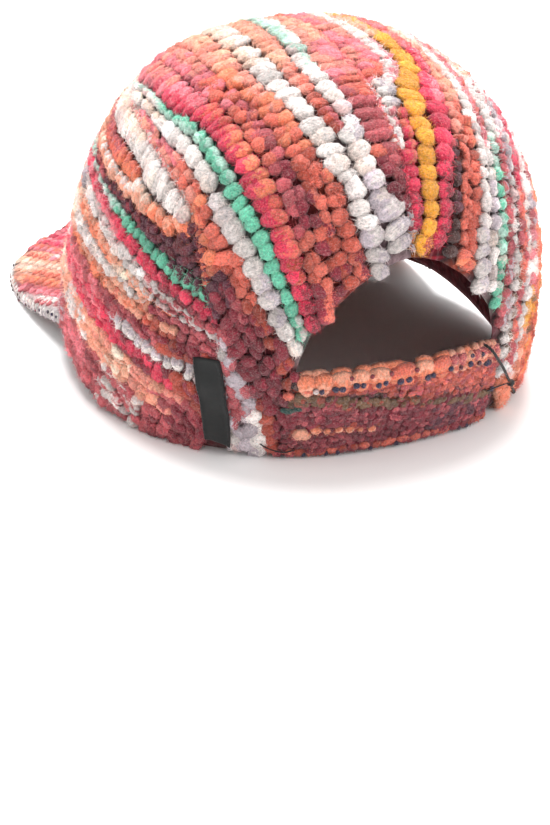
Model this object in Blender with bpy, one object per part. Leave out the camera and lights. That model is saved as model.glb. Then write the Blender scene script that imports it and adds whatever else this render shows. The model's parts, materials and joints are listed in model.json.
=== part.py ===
import bpy
import math
from mathutils import Matrix
from mathutils import Vector

for old in list(bpy.data.objects):
    bpy.data.objects.remove(old, do_unlink=True)

# crown, as worn: x to the wearer's left, y to the back, z up from the rim
CROWN_HALF_WIDTH = 0.0908
CROWN_FRONT = 0.0968
CROWN_BACK = 0.0974
CROWN_HEIGHT = 0.1340
CROWN_SIDE_POWER = 2.62
CROWN_PLAN_POWER = 2.26
CROWN_TOP_SHIFT = 0.0169
RIM_FLARE = 0.018
RIM_BACK_TUCK = 0.074
RIM_BACK_LIFT = 0.0117
RIM_FRONT_DROP = 0.0013
# knitted cloth wall, with thinner turned edges
WALL = 0.0042
EDGE_OUTER_ROLL = 0.0013
EDGE_INNER_ROLL = 0.0009
EDGE_ROLL_REACH = 0.0024
HALF_GAP = 0.00017
# brim: fall per metre forward, side curl and cloth-covered thickness
BRIM_FALL = 0.33
BRIM_TEMPLE_X = 0.0874
BRIM_TEMPLE_Y = -0.0372
BRIM_TOP_LIFT = 0.0034
BRIM_THICKNESS = 0.0052
BRIM_CROWN_GAP = 0.0004
BRIM_TEMPLE_TURN = 20.0
# label ribbon
LABEL_THICKNESS = 0.0009
LABEL_LIFT = 0.00045
LABEL_BOW = 0.0011
# thin cord at the strap
CORD_RADIUS = 0.00058
CORD_KNOT_RADIUS = 0.0014
# rest on the surface: lean back until brim corners and back rim touch
REST_TILT = 10.35
REST_SINK = 0.0010

# seam courses on the crown: turn in degrees from the wearer's left towards
# the back, climb from 0 at the rim to 1 at the crown's top
SIDE_SEAM = (
    ("turn", "climb"),
    (54.0, 0.000),
    (50.2, 0.080),
    (46.3, 0.165),
    (42.0, 0.245),
    (37.6, 0.322),
    (32.6, 0.392),
    (26.3, 0.446),
    (11.0, 0.494),
    (-1.2, 0.509),
    (-25.0, 0.500),
    (-52.0, 0.478),
)
SIDE_SEAM_CORNER = 5
FRONT_SEAM = (
    ("turn", "climb"),
    (-42.0, 0.000),
    (-43.5, 0.120),
    (-46.0, 0.250),
    (-49.0, 0.380),
    (-52.0, 0.478),
)
FRONT_TOP_SEAM = (
    ("turn", "climb"),
    (-52.0, 0.478),
    (-60.0, 0.575),
    (-73.0, 0.670),
    (-82.0, 0.700),
    (-90.0, 0.710),
)
OPENING_EDGE = (
    ("turn", "climb"),
    (64.3, 0.000),
    (64.6, 0.045),
    (65.0, 0.090),
    (65.6, 0.140),
    (66.6, 0.199),
    (69.2, 0.240),
    (74.0, 0.291),
    (79.5, 0.337),
    (84.8, 0.368),
    (90.0, 0.382),
)
CENTRE_SEAM = (
    ("turn", "climb"),
    (90.0, 0.382),
    (90.0, 0.600),
    (90.0, 0.800),
    (90.0, 0.999),
    (-90.0, 0.850),
    (-90.0, 0.710),
)
STRAP_TOP = (
    ("turn", "climb"),
    (65.5, 0.128),
    (73.0, 0.136),
    (82.0, 0.141),
    (90.0, 0.142),
    (98.0, 0.141),
    (107.0, 0.136),
    (114.5, 0.128),
)
STRAP_END = (
    ("turn", "climb"),
    (64.3, 0.000),
    (64.6, 0.045),
    (65.0, 0.090),
    (65.5, 0.128),
)
# strap outline across its height: share of the height, bulge in metres
STRAP_PROFILE = (
    ("share", "bulge"),
    (0.00, -0.0006),
    (0.07, 0.0006),
    (0.18, 0.0004),
    (0.34, 0.0007),
    (0.50, 0.0009),
    (0.62, 0.0006),
    (0.69, -0.0010),
    (0.77, 0.0004),
    (0.90, 0.0012),
    (1.00, -0.0004),
)
STRAP_END_TUCK = 0.0016
STRAP_END_REACH = 0.0060
# brim edge in plan, temple to middle
BRIM_EDGE = (
    ("x", "y"),
    (0.0884, -0.0400),
    (0.0905, -0.0550),
    (0.0918, -0.0700),
    (0.0922, -0.0850),
    (0.0910, -0.1000),
    (0.0882, -0.1150),
    (0.0825, -0.1265),
    (0.0735, -0.1350),
    (0.0620, -0.1420),
    (0.0480, -0.1480),
    (0.0320, -0.1530),
    (0.0160, -0.1560),
    (0.0000, -0.1570),
)
LABEL_CORNERS = (
    ("turn", "climb"),
    (40.0, 0.152),
    (45.9, 0.157),
    (47.0, 0.018),
    (52.6, 0.012),
)
# cord course: turn, climb, lift off the cloth
CORD_COURSE = (
    ("turn", "climb", "lift"),
    (108.6, 0.112, -0.0062),
    (108.7, 0.130, -0.0060),
    (108.9, 0.147, -0.0036),
    (109.3, 0.152, -0.0006),
    (110.2, 0.142, 0.0019),
    (112.3, 0.121, 0.0022),
    (114.6, 0.103, 0.0016),
    (117.3, 0.082, 0.0012),
    (120.4, 0.058, 0.0012),
    (122.0, 0.047, 0.0018),
    (123.6, 0.037, 0.0012),
    (126.6, 0.022, 0.0011),
    (128.6, 0.014, 0.0011),
)
CORD_KNOT_STEP = 9

# grid lines as shares, closer towards the seams
UPRIGHT = (0.0, 0.045, 0.12, 0.22, 0.33, 0.44, 0.55, 0.66, 0.77, 0.88, 0.955, 1.0)
LENGTHWISE = (
    0.0, 0.018, 0.050, 0.095, 0.145, 0.195, 0.245, 0.295, 0.345, 0.395, 0.445,
    0.495, 0.545, 0.595, 0.645, 0.695, 0.745, 0.795, 0.845, 0.895, 0.945, 0.980, 1.0,
)
CROSSWISE = (0.0, 0.030, 0.10, 0.20, 0.32, 0.44, 0.56, 0.68, 0.80, 0.90, 0.970, 1.0)
STRAP_LENGTHWISE = (
    0.0, 0.028, 0.065, 0.11, 0.17, 0.23, 0.29, 0.35, 0.41, 0.47,
    0.53, 0.59, 0.65, 0.71, 0.77, 0.83, 0.89, 0.935, 0.972, 1.0,
)
BRIM_ACROSS = (0.0, 0.04, 0.14, 0.30, 0.48, 0.66, 0.82, 0.93, 0.975, 1.0)

LOOKS = {
    "front_panel": (0.46, 0.27, 0.25),
    "side_panel_left": (0.52, 0.29, 0.27),
    "side_panel_right": (0.52, 0.29, 0.27),
    "back_panel_left": (0.55, 0.31, 0.28),
    "back_panel_right": (0.55, 0.31, 0.28),
    "brim": (0.50, 0.30, 0.26),
    "back_strap": (0.36, 0.17, 0.14),
    "side_label": (0.012, 0.012, 0.014),
    "tie_cord": (0.010, 0.010, 0.010),
}

hat = bpy.data.collections.new("five_panel_cap")
bpy.context.scene.collection.children.link(hat)


def crown_point(a, b):
    reach = math.hypot(a, b)
    turn = math.atan2(b, a)
    climb = max(0.0, 1.0 - reach) * math.pi / 2
    spread = max(math.cos(climb), 0.0) ** (2 / CROWN_SIDE_POWER)
    rise = math.sin(climb) ** (2 / CROWN_SIDE_POWER)
    low = max(0.0, 1.0 - 2.0 * rise) ** 2
    across = math.cos(turn)
    fore = math.sin(turn)
    power = 2 / CROWN_PLAN_POWER
    wide = CROWN_HALF_WIDTH * (1.0 + RIM_FLARE * low)
    x = wide * spread * math.copysign(abs(across) ** power, across)
    if fore > 0:
        long = CROWN_BACK * (1.0 - RIM_BACK_TUCK * low)
        rim = RIM_BACK_LIFT * fore * fore
    else:
        long = CROWN_FRONT
        rim = -RIM_FRONT_DROP * fore * fore
    y = long * spread * math.copysign(abs(fore) ** power, fore)
    y = y + CROWN_TOP_SHIFT * (1.0 - reach) ** 2
    z = rim * (1.0 - rise) + CROWN_HEIGHT * rise
    return Vector((x, y, z))


def crown_normal(a, b):
    reach = math.hypot(a, b)
    if reach > 0.975:
        a = a * 0.975 / reach
        b = b * 0.975 / reach
    step = 0.012
    side = crown_point(a + step, b) - crown_point(a - step, b)
    back = crown_point(a, b + step) - crown_point(a, b - step)
    return side.cross(back).normalized()


def chart(turn, climb):
    reach = 1.0 - climb
    angle = math.radians(turn)
    return Vector((reach * math.cos(angle), reach * math.sin(angle)))


def smooth(points, count=24):
    # rounded course through the listed points
    path = []
    last = len(points) - 1
    for step in range(last):
        before = points[max(step - 1, 0)]
        start = points[step]
        end = points[step + 1]
        after = points[min(step + 2, last)]
        for part in range(count):
            t = part / count
            m0 = (end - before) * 0.5
            m1 = (after - start) * 0.5
            h1 = 2 * t ** 3 - 3 * t ** 2 + 1
            h2 = t ** 3 - 2 * t ** 2 + t
            h3 = -2 * t ** 3 + 3 * t ** 2
            h4 = t ** 3 - t ** 2
            path.append(start * h1 + m0 * h2 + end * h3 + m1 * h4)
    path.append(points[last])
    return path


def course(table, first=0, stop=None):
    rows = table[1:]
    if stop is None:
        stop = len(rows) - 1
    points = [chart(turn, climb) for turn, climb in rows]
    path = smooth(points)
    return path[first * 24: stop * 24 + 1]


def place(path, shares, on_crown=True):
    # points at shares of the true length of the course
    spots = path
    if on_crown:
        spots = [crown_point(p[0], p[1]) for p in path]
    total = [0.0]
    for index in range(1, len(spots)):
        total.append(total[-1] + (spots[index] - spots[index - 1]).length)
    picked = []
    for share in shares:
        want = share * total[-1]
        index = 1
        while index < len(total) - 1 and total[index] < want:
            index += 1
        step = total[index] - total[index - 1]
        t = (want - total[index - 1]) / step
        picked.append(path[index - 1].lerp(path[index], t))
    return picked


def rim_course(start, end, count=60):
    points = []
    for step in range(count + 1):
        points.append(chart(start + (end - start) * step / count, 0.0))
    return points


def patch(bottom, top, left, right):
    # even sheet of points between four edge courses
    wide = len(bottom) - 1
    tall = len(left) - 1
    reach_u = [0.0]
    for step in range(wide):
        reach_u.append(reach_u[-1] + (bottom[step + 1] - bottom[step]).length
                       + (top[step + 1] - top[step]).length)
    reach_v = [0.0]
    for step in range(tall):
        reach_v.append(reach_v[-1] + (left[step + 1] - left[step]).length
                       + (right[step + 1] - right[step]).length)
    sheet = []
    for row in range(tall + 1):
        v = reach_v[row] / reach_v[-1]
        line = []
        for col in range(wide + 1):
            u = reach_u[col] / reach_u[-1]
            spot = bottom[col] * (1 - v) + top[col] * v + left[row] * (1 - u) + right[row] * u
            spot = spot - bottom[0] * ((1 - u) * (1 - v)) - bottom[-1] * (u * (1 - v))
            spot = spot - top[0] * ((1 - u) * v) - top[-1] * (u * v)
            line.append(spot)
        sheet.append(line)
    return sheet


def edge_distance(skin):
    # way to the nearest edge along the sheet's own lines
    tall = len(skin)
    wide = len(skin[0])
    away = [[1.0] * wide for _ in range(tall)]
    for row in range(tall):
        run = 0.0
        for col in range(wide):
            if col:
                run += (skin[row][col] - skin[row][col - 1]).length
            away[row][col] = min(away[row][col], run)
        run = 0.0
        for col in reversed(range(wide)):
            if col < wide - 1:
                run += (skin[row][col] - skin[row][col + 1]).length
            away[row][col] = min(away[row][col], run)
    for col in range(wide):
        run = 0.0
        for row in range(tall):
            if row:
                run += (skin[row][col] - skin[row - 1][col]).length
            away[row][col] = min(away[row][col], run)
        run = 0.0
        for row in reversed(range(tall)):
            if row < tall - 1:
                run += (skin[row][col] - skin[row + 1][col]).length
            away[row][col] = min(away[row][col], run)
    return away


def pull_in(skin, amount):
    # draws the four edges back so that neighbours keep a gap
    tall = len(skin)
    wide = len(skin[0])
    drawn = [[spot.copy() for spot in line] for line in skin]
    for row in range(tall):
        for col in range(wide):
            shift = Vector((0.0, 0.0, 0.0))
            if row == 0:
                shift += (skin[1][col] - skin[0][col]).normalized()
            if row == tall - 1:
                shift += (skin[row - 1][col] - skin[row][col]).normalized()
            if col == 0:
                shift += (skin[row][1] - skin[row][0]).normalized()
            if col == wide - 1:
                shift += (skin[row][col - 1] - skin[row][col]).normalized()
            drawn[row][col] += shift * amount
    return drawn


def closed_sheet(name, outer, inner):
    # outer and inner skins joined round their four edges
    tall = len(outer)
    wide = len(outer[0])
    spots = []
    for line in outer:
        spots.extend(line)
    for line in inner:
        spots.extend(line)
    back = tall * wide
    faces = []
    for row in range(tall - 1):
        for col in range(wide - 1):
            a = row * wide + col
            b = a + 1
            c = a + wide + 1
            d = a + wide
            faces.append((a, b, c, d))
            faces.append((back + d, back + c, back + b, back + a))
    rim = [(0, col) for col in range(wide - 1)]
    rim += [(row, wide - 1) for row in range(tall - 1)]
    rim += [(tall - 1, col) for col in range(wide - 1, 0, -1)]
    rim += [(row, 0) for row in range(tall - 1, 0, -1)]
    count = len(rim)
    for step in range(count):
        row, col = rim[step]
        nrow, ncol = rim[(step + 1) % count]
        a = row * wide + col
        b = nrow * wide + ncol
        faces.append((a, back + a, back + b, b))
    return make(name, spots, faces)


def make(name, spots, faces):
    shape = bpy.data.meshes.new(name)
    shape.from_pydata([tuple(REST_FRAME @ spot) for spot in spots], [], faces)
    shape.validate()
    shape.update()
    piece = bpy.data.objects.new(name, shape)
    hat.objects.link(piece)
    look = bpy.data.materials.new(name)
    look.use_nodes = True
    base = look.node_tree.nodes["Principled BSDF"]
    red, green, blue = LOOKS[name]
    base.inputs["Base Color"].default_value = (red, green, blue, 1.0)
    base.inputs["Roughness"].default_value = 0.9
    if name == "side_label":
        base.inputs["Roughness"].default_value = 0.42
    shape.materials.append(look)
    return piece


def cloth_panel(name, sheet, mirror=False, bulge=None):
    tall = len(sheet)
    wide = len(sheet[0])
    skin = [[crown_point(p[0], p[1]) for p in line] for line in sheet]
    away = edge_distance(skin)
    drawn = pull_in(skin, HALF_GAP)
    outer = []
    inner = []
    for row in range(tall):
        outer_line = []
        inner_line = []
        for col in range(wide):
            normal = crown_normal(sheet[row][col][0], sheet[row][col][1])
            roll = math.exp(-(away[row][col] / EDGE_ROLL_REACH) ** 2)
            out = -EDGE_OUTER_ROLL * roll
            if bulge:
                out = bulge(row, col, away[row][col])
            deep = WALL - EDGE_INNER_ROLL * roll
            outer_line.append(drawn[row][col] + normal * out)
            inner_line.append(drawn[row][col] - normal * deep)
        outer.append(outer_line)
        inner.append(inner_line)
    if mirror:
        flip = Vector((-1.0, 1.0, 1.0))
        outer = [[spot * flip for spot in reversed(line)] for line in outer]
        inner = [[spot * flip for spot in reversed(line)] for line in inner]
    return closed_sheet(name, outer, inner)


REST_FRAME = Matrix.Rotation(math.radians(-REST_TILT), 4, "X")


def flipped(path):
    return [Vector((-p[0], p[1])) for p in path]


# courses shared by neighbouring panels
rim_side = place(rim_course(-42.0, 54.0), LENGTHWISE)
rim_back = place(rim_course(64.3, 54.0), CROSSWISE)
seam_up = place(course(SIDE_SEAM, 0, SIDE_SEAM_CORNER), UPRIGHT)
seam_along = place(course(SIDE_SEAM, SIDE_SEAM_CORNER), LENGTHWISE)
front_up = place(course(FRONT_SEAM), UPRIGHT)
front_top = place(course(FRONT_TOP_SEAM), CROSSWISE)
opening = place(course(OPENING_EDGE), UPRIGHT)
centre = place(course(CENTRE_SEAM), LENGTHWISE)

side_sheet = patch(rim_side, list(reversed(seam_along)), front_up, seam_up)
back_sheet = patch(
    opening + centre[1:], seam_up + seam_along[1:], rim_back, list(reversed(front_top)))
halves = [share / 2 for share in CROSSWISE] + [0.5 + share / 2 for share in CROSSWISE[1:]]
front_sheet = patch(
    place(rim_course(-138.0, -42.0), halves),
    flipped(front_top) + list(reversed(front_top))[1:],
    flipped(front_up),
    front_up)
cloth_panel("front_panel", front_sheet)
cloth_panel("side_panel_left", side_sheet)
cloth_panel("side_panel_right", side_sheet, mirror=True)
cloth_panel("back_panel_left", back_sheet)
cloth_panel("back_panel_right", back_sheet, mirror=True)

# back strap: a thick band with rolled edges, a crease and tucked ends
strap_rows = STRAP_PROFILE[1:]
strap_shares = [share for share, bulge in strap_rows]
strap_end = place(course(STRAP_END), strap_shares)
strap_sheet = patch(
    place(rim_course(64.3, 115.7), STRAP_LENGTHWISE),
    place(course(STRAP_TOP), STRAP_LENGTHWISE),
    strap_end,
    flipped(strap_end))


def strap_bulge(row, col, away):
    # the ends run in under the neighbouring panels' edges
    skin = STRAP_SKIN[row]
    left = (skin[col] - skin[0]).length
    right = (skin[col] - skin[-1]).length
    tuck = math.exp(-(min(left, right) / STRAP_END_REACH) ** 2)
    return strap_rows[row][1] - STRAP_END_TUCK * tuck


STRAP_SKIN = [[crown_point(p[0], p[1]) for p in line] for line in strap_sheet]
cloth_panel("back_strap", strap_sheet, bulge=strap_bulge)

# brim: one curved plate, its inner edge along the rim
brim_curl = BRIM_FALL * (CROWN_FRONT + BRIM_TEMPLE_Y) / BRIM_TEMPLE_X ** 2


def brim_top(x, y):
    rise = brim_curl * (BRIM_TEMPLE_X ** 2 - x * x) + BRIM_FALL * (y - BRIM_TEMPLE_Y)
    return Vector((x, y, rise + BRIM_TOP_LIFT))


brim_inner_plan = []
for step in range(121):
    turn = -BRIM_TEMPLE_TURN - (180.0 - 2 * BRIM_TEMPLE_TURN) * step / 120
    spot = chart(turn, 0.0)
    skin = crown_point(spot[0], spot[1]) + crown_normal(spot[0], spot[1]) * BRIM_CROWN_GAP
    brim_inner_plan.append(Vector((skin.x, skin.y)))
half_edge = [Vector(row) for row in BRIM_EDGE[1:]]
other_half = [Vector((-p[0], p[1])) for p in reversed(half_edge[:-1])]
brim_outer_plan = smooth(half_edge + other_half)
brim_shares = [step / 30 for step in range(31)]
brim_inner = place(brim_inner_plan, brim_shares, on_crown=False)
brim_outer = place(brim_outer_plan, brim_shares, on_crown=False)
brim_skin = []
for share in BRIM_ACROSS:
    line = []
    for inner_spot, outer_spot in zip(brim_inner, brim_outer):
        plan = inner_spot.lerp(outer_spot, share)
        line.append(brim_top(plan[0], plan[1]))
    brim_skin.append(line)
brim_away = edge_distance(brim_skin)
brim_upper = []
brim_lower = []
for row in range(len(brim_skin)):
    upper = []
    lower = []
    for col in range(len(brim_skin[0])):
        near = (brim_skin[row][col] - brim_skin[-1][col]).length
        roll = math.exp(-(near / EDGE_ROLL_REACH) ** 2)
        down = EDGE_OUTER_ROLL * roll
        up = EDGE_INNER_ROLL * roll
        spot = brim_skin[row][col]
        upper.append(spot - Vector((0.0, 0.0, down)))
        lower.append(spot - Vector((0.0, 0.0, BRIM_THICKNESS - up)))
    brim_upper.append(upper)
    brim_lower.append(lower)
closed_sheet("brim", brim_upper, brim_lower)

# ribbon label, its back edge in the side seam
top_front, top_back, low_front, low_back = [chart(t, c) for t, c in LABEL_CORNERS[1:]]
label_outer = []
label_inner = []
for row in range(11):
    up = row / 10
    outer_line = []
    inner_line = []
    for col in range(5):
        over = col / 4
        spot = low_front * ((1 - up) * (1 - over)) + low_back * ((1 - up) * over)
        spot = spot + top_front * (up * (1 - over)) + top_back * (up * over)
        normal = crown_normal(spot[0], spot[1])
        bow = LABEL_BOW * math.sin(math.pi * up) * (1 - 0.6 * over)
        lift = LABEL_LIFT + bow
        skin = crown_point(spot[0], spot[1])
        outer_line.append(skin + normal * (lift + LABEL_THICKNESS))
        inner_line.append(skin + normal * lift)
    label_outer.append(outer_line)
    label_inner.append(inner_line)
closed_sheet("side_label", label_outer, label_inner)

# cord over the strap's right end, with one small knot
cord_path = []
for turn, climb, lift in CORD_COURSE[1:]:
    spot = chart(turn, climb)
    cord_path.append(crown_point(spot[0], spot[1]) + crown_normal(spot[0], spot[1]) * lift)
cord_fine = smooth(cord_path, 4)
cord_shape = bpy.data.curves.new("tie_cord", "CURVE")
cord_shape.dimensions = "3D"
cord_shape.bevel_depth = 1.0
cord_shape.bevel_resolution = 1
cord_shape.use_fill_caps = True
cord_line = cord_shape.splines.new("POLY")
cord_line.points.add(len(cord_fine) - 1)
knot_at = cord_path[CORD_KNOT_STEP]
for point, spot in zip(cord_line.points, cord_fine):
    settled = REST_FRAME @ spot
    point.co = (settled.x, settled.y, settled.z, 1.0)
    swell = math.exp(-((spot - knot_at).length / 0.0014) ** 2)
    point.radius = CORD_RADIUS + (CORD_KNOT_RADIUS - CORD_RADIUS) * swell
cord = bpy.data.objects.new("tie_cord", cord_shape)
hat.objects.link(cord)
cord_look = bpy.data.materials.new("tie_cord")
cord_look.use_nodes = True
cord_base = cord_look.node_tree.nodes["Principled BSDF"]
cord_base.inputs["Base Color"].default_value = (*LOOKS["tie_cord"], 1.0)
cord_base.inputs["Roughness"].default_value = 0.8
cord_shape.materials.append(cord_look)

# set down: lowest cloth a little into the surface and flattened there
low = min(v.co.z for piece in hat.objects if piece.type == "MESH" for v in piece.data.vertices)
near = min(v.co.y for piece in hat.objects if piece.type == "MESH" for v in piece.data.vertices)
far = max(v.co.y for piece in hat.objects if piece.type == "MESH" for v in piece.data.vertices)
middle = (near + far) / 2
for piece in hat.objects:
    if piece.type == "MESH":
        for vertex in piece.data.vertices:
            vertex.co.y -= middle
            vertex.co.z = max(vertex.co.z - low - REST_SINK, 0.0)
for point in cord_line.points:
    point.co.y -= middle
    point.co.z -= low + REST_SINK
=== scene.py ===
import json
import math
import random

import bmesh
import bpy
import numpy as np
from mathutils import Matrix, Vector
from mathutils.kdtree import KDTree

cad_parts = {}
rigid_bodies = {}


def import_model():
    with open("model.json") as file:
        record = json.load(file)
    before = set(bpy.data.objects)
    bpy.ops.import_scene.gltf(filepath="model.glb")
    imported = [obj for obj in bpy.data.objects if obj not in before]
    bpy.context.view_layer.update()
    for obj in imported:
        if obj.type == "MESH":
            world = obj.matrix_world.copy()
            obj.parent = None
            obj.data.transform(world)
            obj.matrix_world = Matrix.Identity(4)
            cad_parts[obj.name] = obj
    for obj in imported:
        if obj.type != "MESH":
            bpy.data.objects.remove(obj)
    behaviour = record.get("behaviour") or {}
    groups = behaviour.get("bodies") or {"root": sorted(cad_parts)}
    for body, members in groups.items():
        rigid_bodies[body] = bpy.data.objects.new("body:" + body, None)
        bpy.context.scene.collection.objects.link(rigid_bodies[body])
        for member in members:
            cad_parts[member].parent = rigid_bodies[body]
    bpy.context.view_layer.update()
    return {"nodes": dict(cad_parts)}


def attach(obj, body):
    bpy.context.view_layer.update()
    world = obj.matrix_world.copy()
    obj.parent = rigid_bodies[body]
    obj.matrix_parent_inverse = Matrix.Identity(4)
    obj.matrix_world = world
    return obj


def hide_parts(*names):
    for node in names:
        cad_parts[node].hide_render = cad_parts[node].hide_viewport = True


for old in list(bpy.data.objects):  # an empty scene to start from
    bpy.data.objects.remove(old, do_unlink=True)
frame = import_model()
cadNodes = frame["nodes"]
print("frame loaded")

# the crown's form, the same sizes as the sewn panels have
crown = {
    "halfWidth": 0.0908, "front": 0.0968, "back": 0.0974, "height": 0.1340,
    "sidePower": 2.62, "planPower": 2.26, "topShift": 0.0169, "flare": 0.018,
    "backTuck": 0.074, "backLift": 0.0117, "frontDrop": 0.0013,
    "leanBack": 10.35, "restShift": 0.02762496, "restLift": 0.00478235,
}

lean = math.radians(crown["leanBack"])
leanCos, leanSin = math.cos(lean), math.sin(lean)


def setDown(p):  # worn position to the position at rest
    p = np.asarray(p, float)
    y = p[..., 1] * leanCos + p[..., 2] * leanSin + crown["restShift"]
    z = -p[..., 1] * leanSin + p[..., 2] * leanCos + crown["restLift"]
    return np.stack((p[..., 0], y, z), -1)


def turnDown(v):
    v = np.asarray(v, float)
    y = v[..., 1] * leanCos + v[..., 2] * leanSin
    z = -v[..., 1] * leanSin + v[..., 2] * leanCos
    return np.stack((v[..., 0], y, z), -1)


def crownWorn(a, b):  # a to the wearer's left, b to the back, 1 at the rim
    a, b = np.broadcast_arrays(np.asarray(a, float), np.asarray(b, float))
    reach = np.hypot(a, b)
    turn = np.arctan2(b, a)
    climb = np.clip(1 - reach, 0, 1) * math.pi / 2
    spread = np.maximum(np.cos(climb), 0) ** (2 / crown["sidePower"])
    rise = np.sin(climb) ** (2 / crown["sidePower"])
    low = np.maximum(0, 1 - 2 * rise) ** 2
    across, fore = np.cos(turn), np.sin(turn)
    power = 2 / crown["planPower"]
    x = crown["halfWidth"] * (1 + crown["flare"] * low) * spread
    x = x * np.sign(across) * np.abs(across) ** power
    behind = fore > 0
    longSide = np.where(behind, crown["back"] * (1 - crown["backTuck"] * low), crown["front"])
    rim = np.where(behind, crown["backLift"], -crown["frontDrop"]) * fore * fore
    y = longSide * spread * np.sign(fore) * np.abs(fore) ** power
    y = y + crown["topShift"] * (1 - reach) ** 2
    z = rim * (1 - rise) + crown["height"] * rise
    return np.stack((x, y, z), -1)


def skinPoint(a, b):
    return setDown(crownWorn(a, b))


def skinNormal(a, b):
    a, b = np.broadcast_arrays(np.asarray(a, float), np.asarray(b, float))
    reach = np.maximum(np.hypot(a, b), 1e-6)
    scale = np.minimum(1, 0.975 / reach)
    a, b = a * scale, b * scale
    step = 0.012
    side = crownWorn(a + step, b) - crownWorn(a - step, b)
    back = crownWorn(a, b + step) - crownWorn(a, b - step)
    n = np.cross(side, back)
    return turnDown(n / np.linalg.norm(n, axis=-1, keepdims=True))


def chartOf(turn, climb):  # turn in degrees and climb from the rim to the place on the chart
    angle, reach = np.radians(turn), 1 - np.asarray(climb)
    return np.stack((reach * np.cos(angle), reach * np.sin(angle)), -1)


def rounded(points, count=16):  # smooth course through the listed points
    points = np.asarray(points, float)
    path = []
    last = len(points) - 1
    for step in range(last):
        p0, p1 = points[max(step - 1, 0)], points[step]
        p2, p3 = points[step + 1], points[min(step + 2, last)]
        for part in range(count):
            t = part / count
            m0, m1 = (p2 - p0) * 0.5, (p3 - p1) * 0.5
            path.append(p1 * (2 * t**3 - 3 * t**2 + 1) + m0 * (t**3 - 2 * t**2 + t)
                        + p2 * (-2 * t**3 + 3 * t**2) + m1 * (t**3 - t**2))
    path.append(points[last])
    return np.array(path)


# seams and edges as turn from the wearer's left and climb from the rim
seams = {
    "side": [(54.0, 0.0), (50.2, 0.08), (46.3, 0.165), (42.0, 0.245), (37.6, 0.322), (32.6, 0.392),
             (26.3, 0.446), (11.0, 0.494), (-1.2, 0.509), (-25.0, 0.5), (-52.0, 0.478)],
    "front": [(-42.0, 0.0), (-43.5, 0.12), (-46.0, 0.25), (-49.0, 0.38), (-52.0, 0.478)],
    "frontTop": [(-52.0, 0.478), (-60.0, 0.575), (-73.0, 0.67), (-82.0, 0.7), (-90.0, 0.71)],
    "opening": [(64.3, 0.0), (64.6, 0.045), (65.0, 0.09), (65.6, 0.14), (66.6, 0.199), (69.2, 0.24),
                (74.0, 0.291), (79.5, 0.337), (84.8, 0.368), (90.0, 0.382)],
}
seamPath = {}
for seamName, table in seams.items():
    turns, climbs = zip(*table)
    seamPath[seamName] = rounded(chartOf(np.array(turns), np.array(climbs)))


def rimPath(start, end, count=90):
    return chartOf(np.linspace(start, end, count), np.zeros(count))


def mirrored(path):
    return np.asarray(path) * np.array((-1.0, 1.0))


# yarn colours, as dyed wool looks in plain light
yarn = {
    "white": (0.79, 0.74, 0.71), "grey": (0.62, 0.57, 0.55), "lilac": (0.48, 0.42, 0.46),
    "coral": (0.66, 0.140, 0.095), "orange": (0.74, 0.205, 0.105), "peach": (0.82, 0.375, 0.255),
    "rust": (0.42, 0.068, 0.042), "raspberry": (0.66, 0.036, 0.090), "pink": (0.76, 0.20, 0.24),
    "rose": (0.47, 0.088, 0.105), "maroon": (0.24, 0.022, 0.040), "burgundy": (0.14, 0.015, 0.027),
    "mint": (0.13, 0.50, 0.34), "mustard": (0.70, 0.31, 0.028), "plum": (0.11, 0.020, 0.042),
    "brown": (0.075, 0.030, 0.028), "olive": (0.17, 0.09, 0.045), "navy": (0.030, 0.024, 0.07),
    "cream": (0.83, 0.62, 0.50), "paleMint": (0.42, 0.66, 0.56), "salmon": (0.78, 0.29, 0.225),
    "teal": (0.02, 0.07, 0.06), "black": (0.008, 0.008, 0.009),
}


def mixTone(one, two, share):
    return tuple(one[i] * (1 - share) + two[i] * share for i in range(3))


def course(path, tones, step=6.8, lumps=2, slant=0.0, shape=1.0, lift=0.0, felt=0.0, room=1.0):
    # one knitted row: its course, its yarns in turn and how its loops puff up
    return {"path": path, "tones": tones, "step": step, "lumps": lumps, "slant": slant,
            "shape": shape, "lift": lift, "felt": felt, "room": room}


def stretches(text):  # "start yarn yarn" entries, parted by commas
    return [(float(start), one, two) for start, one, two in (entry.split() for entry in text.split(","))]


def knitRow(path, tones, *form):
    # a row from text: places across and lengthwise in thousandths of the chart, then its stretches of yarn
    spots = [int(value) / 1000 for value in path.split()]
    return course(list(zip(spots[::2], spots[1::2])), stretches(tones), *form)


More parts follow.
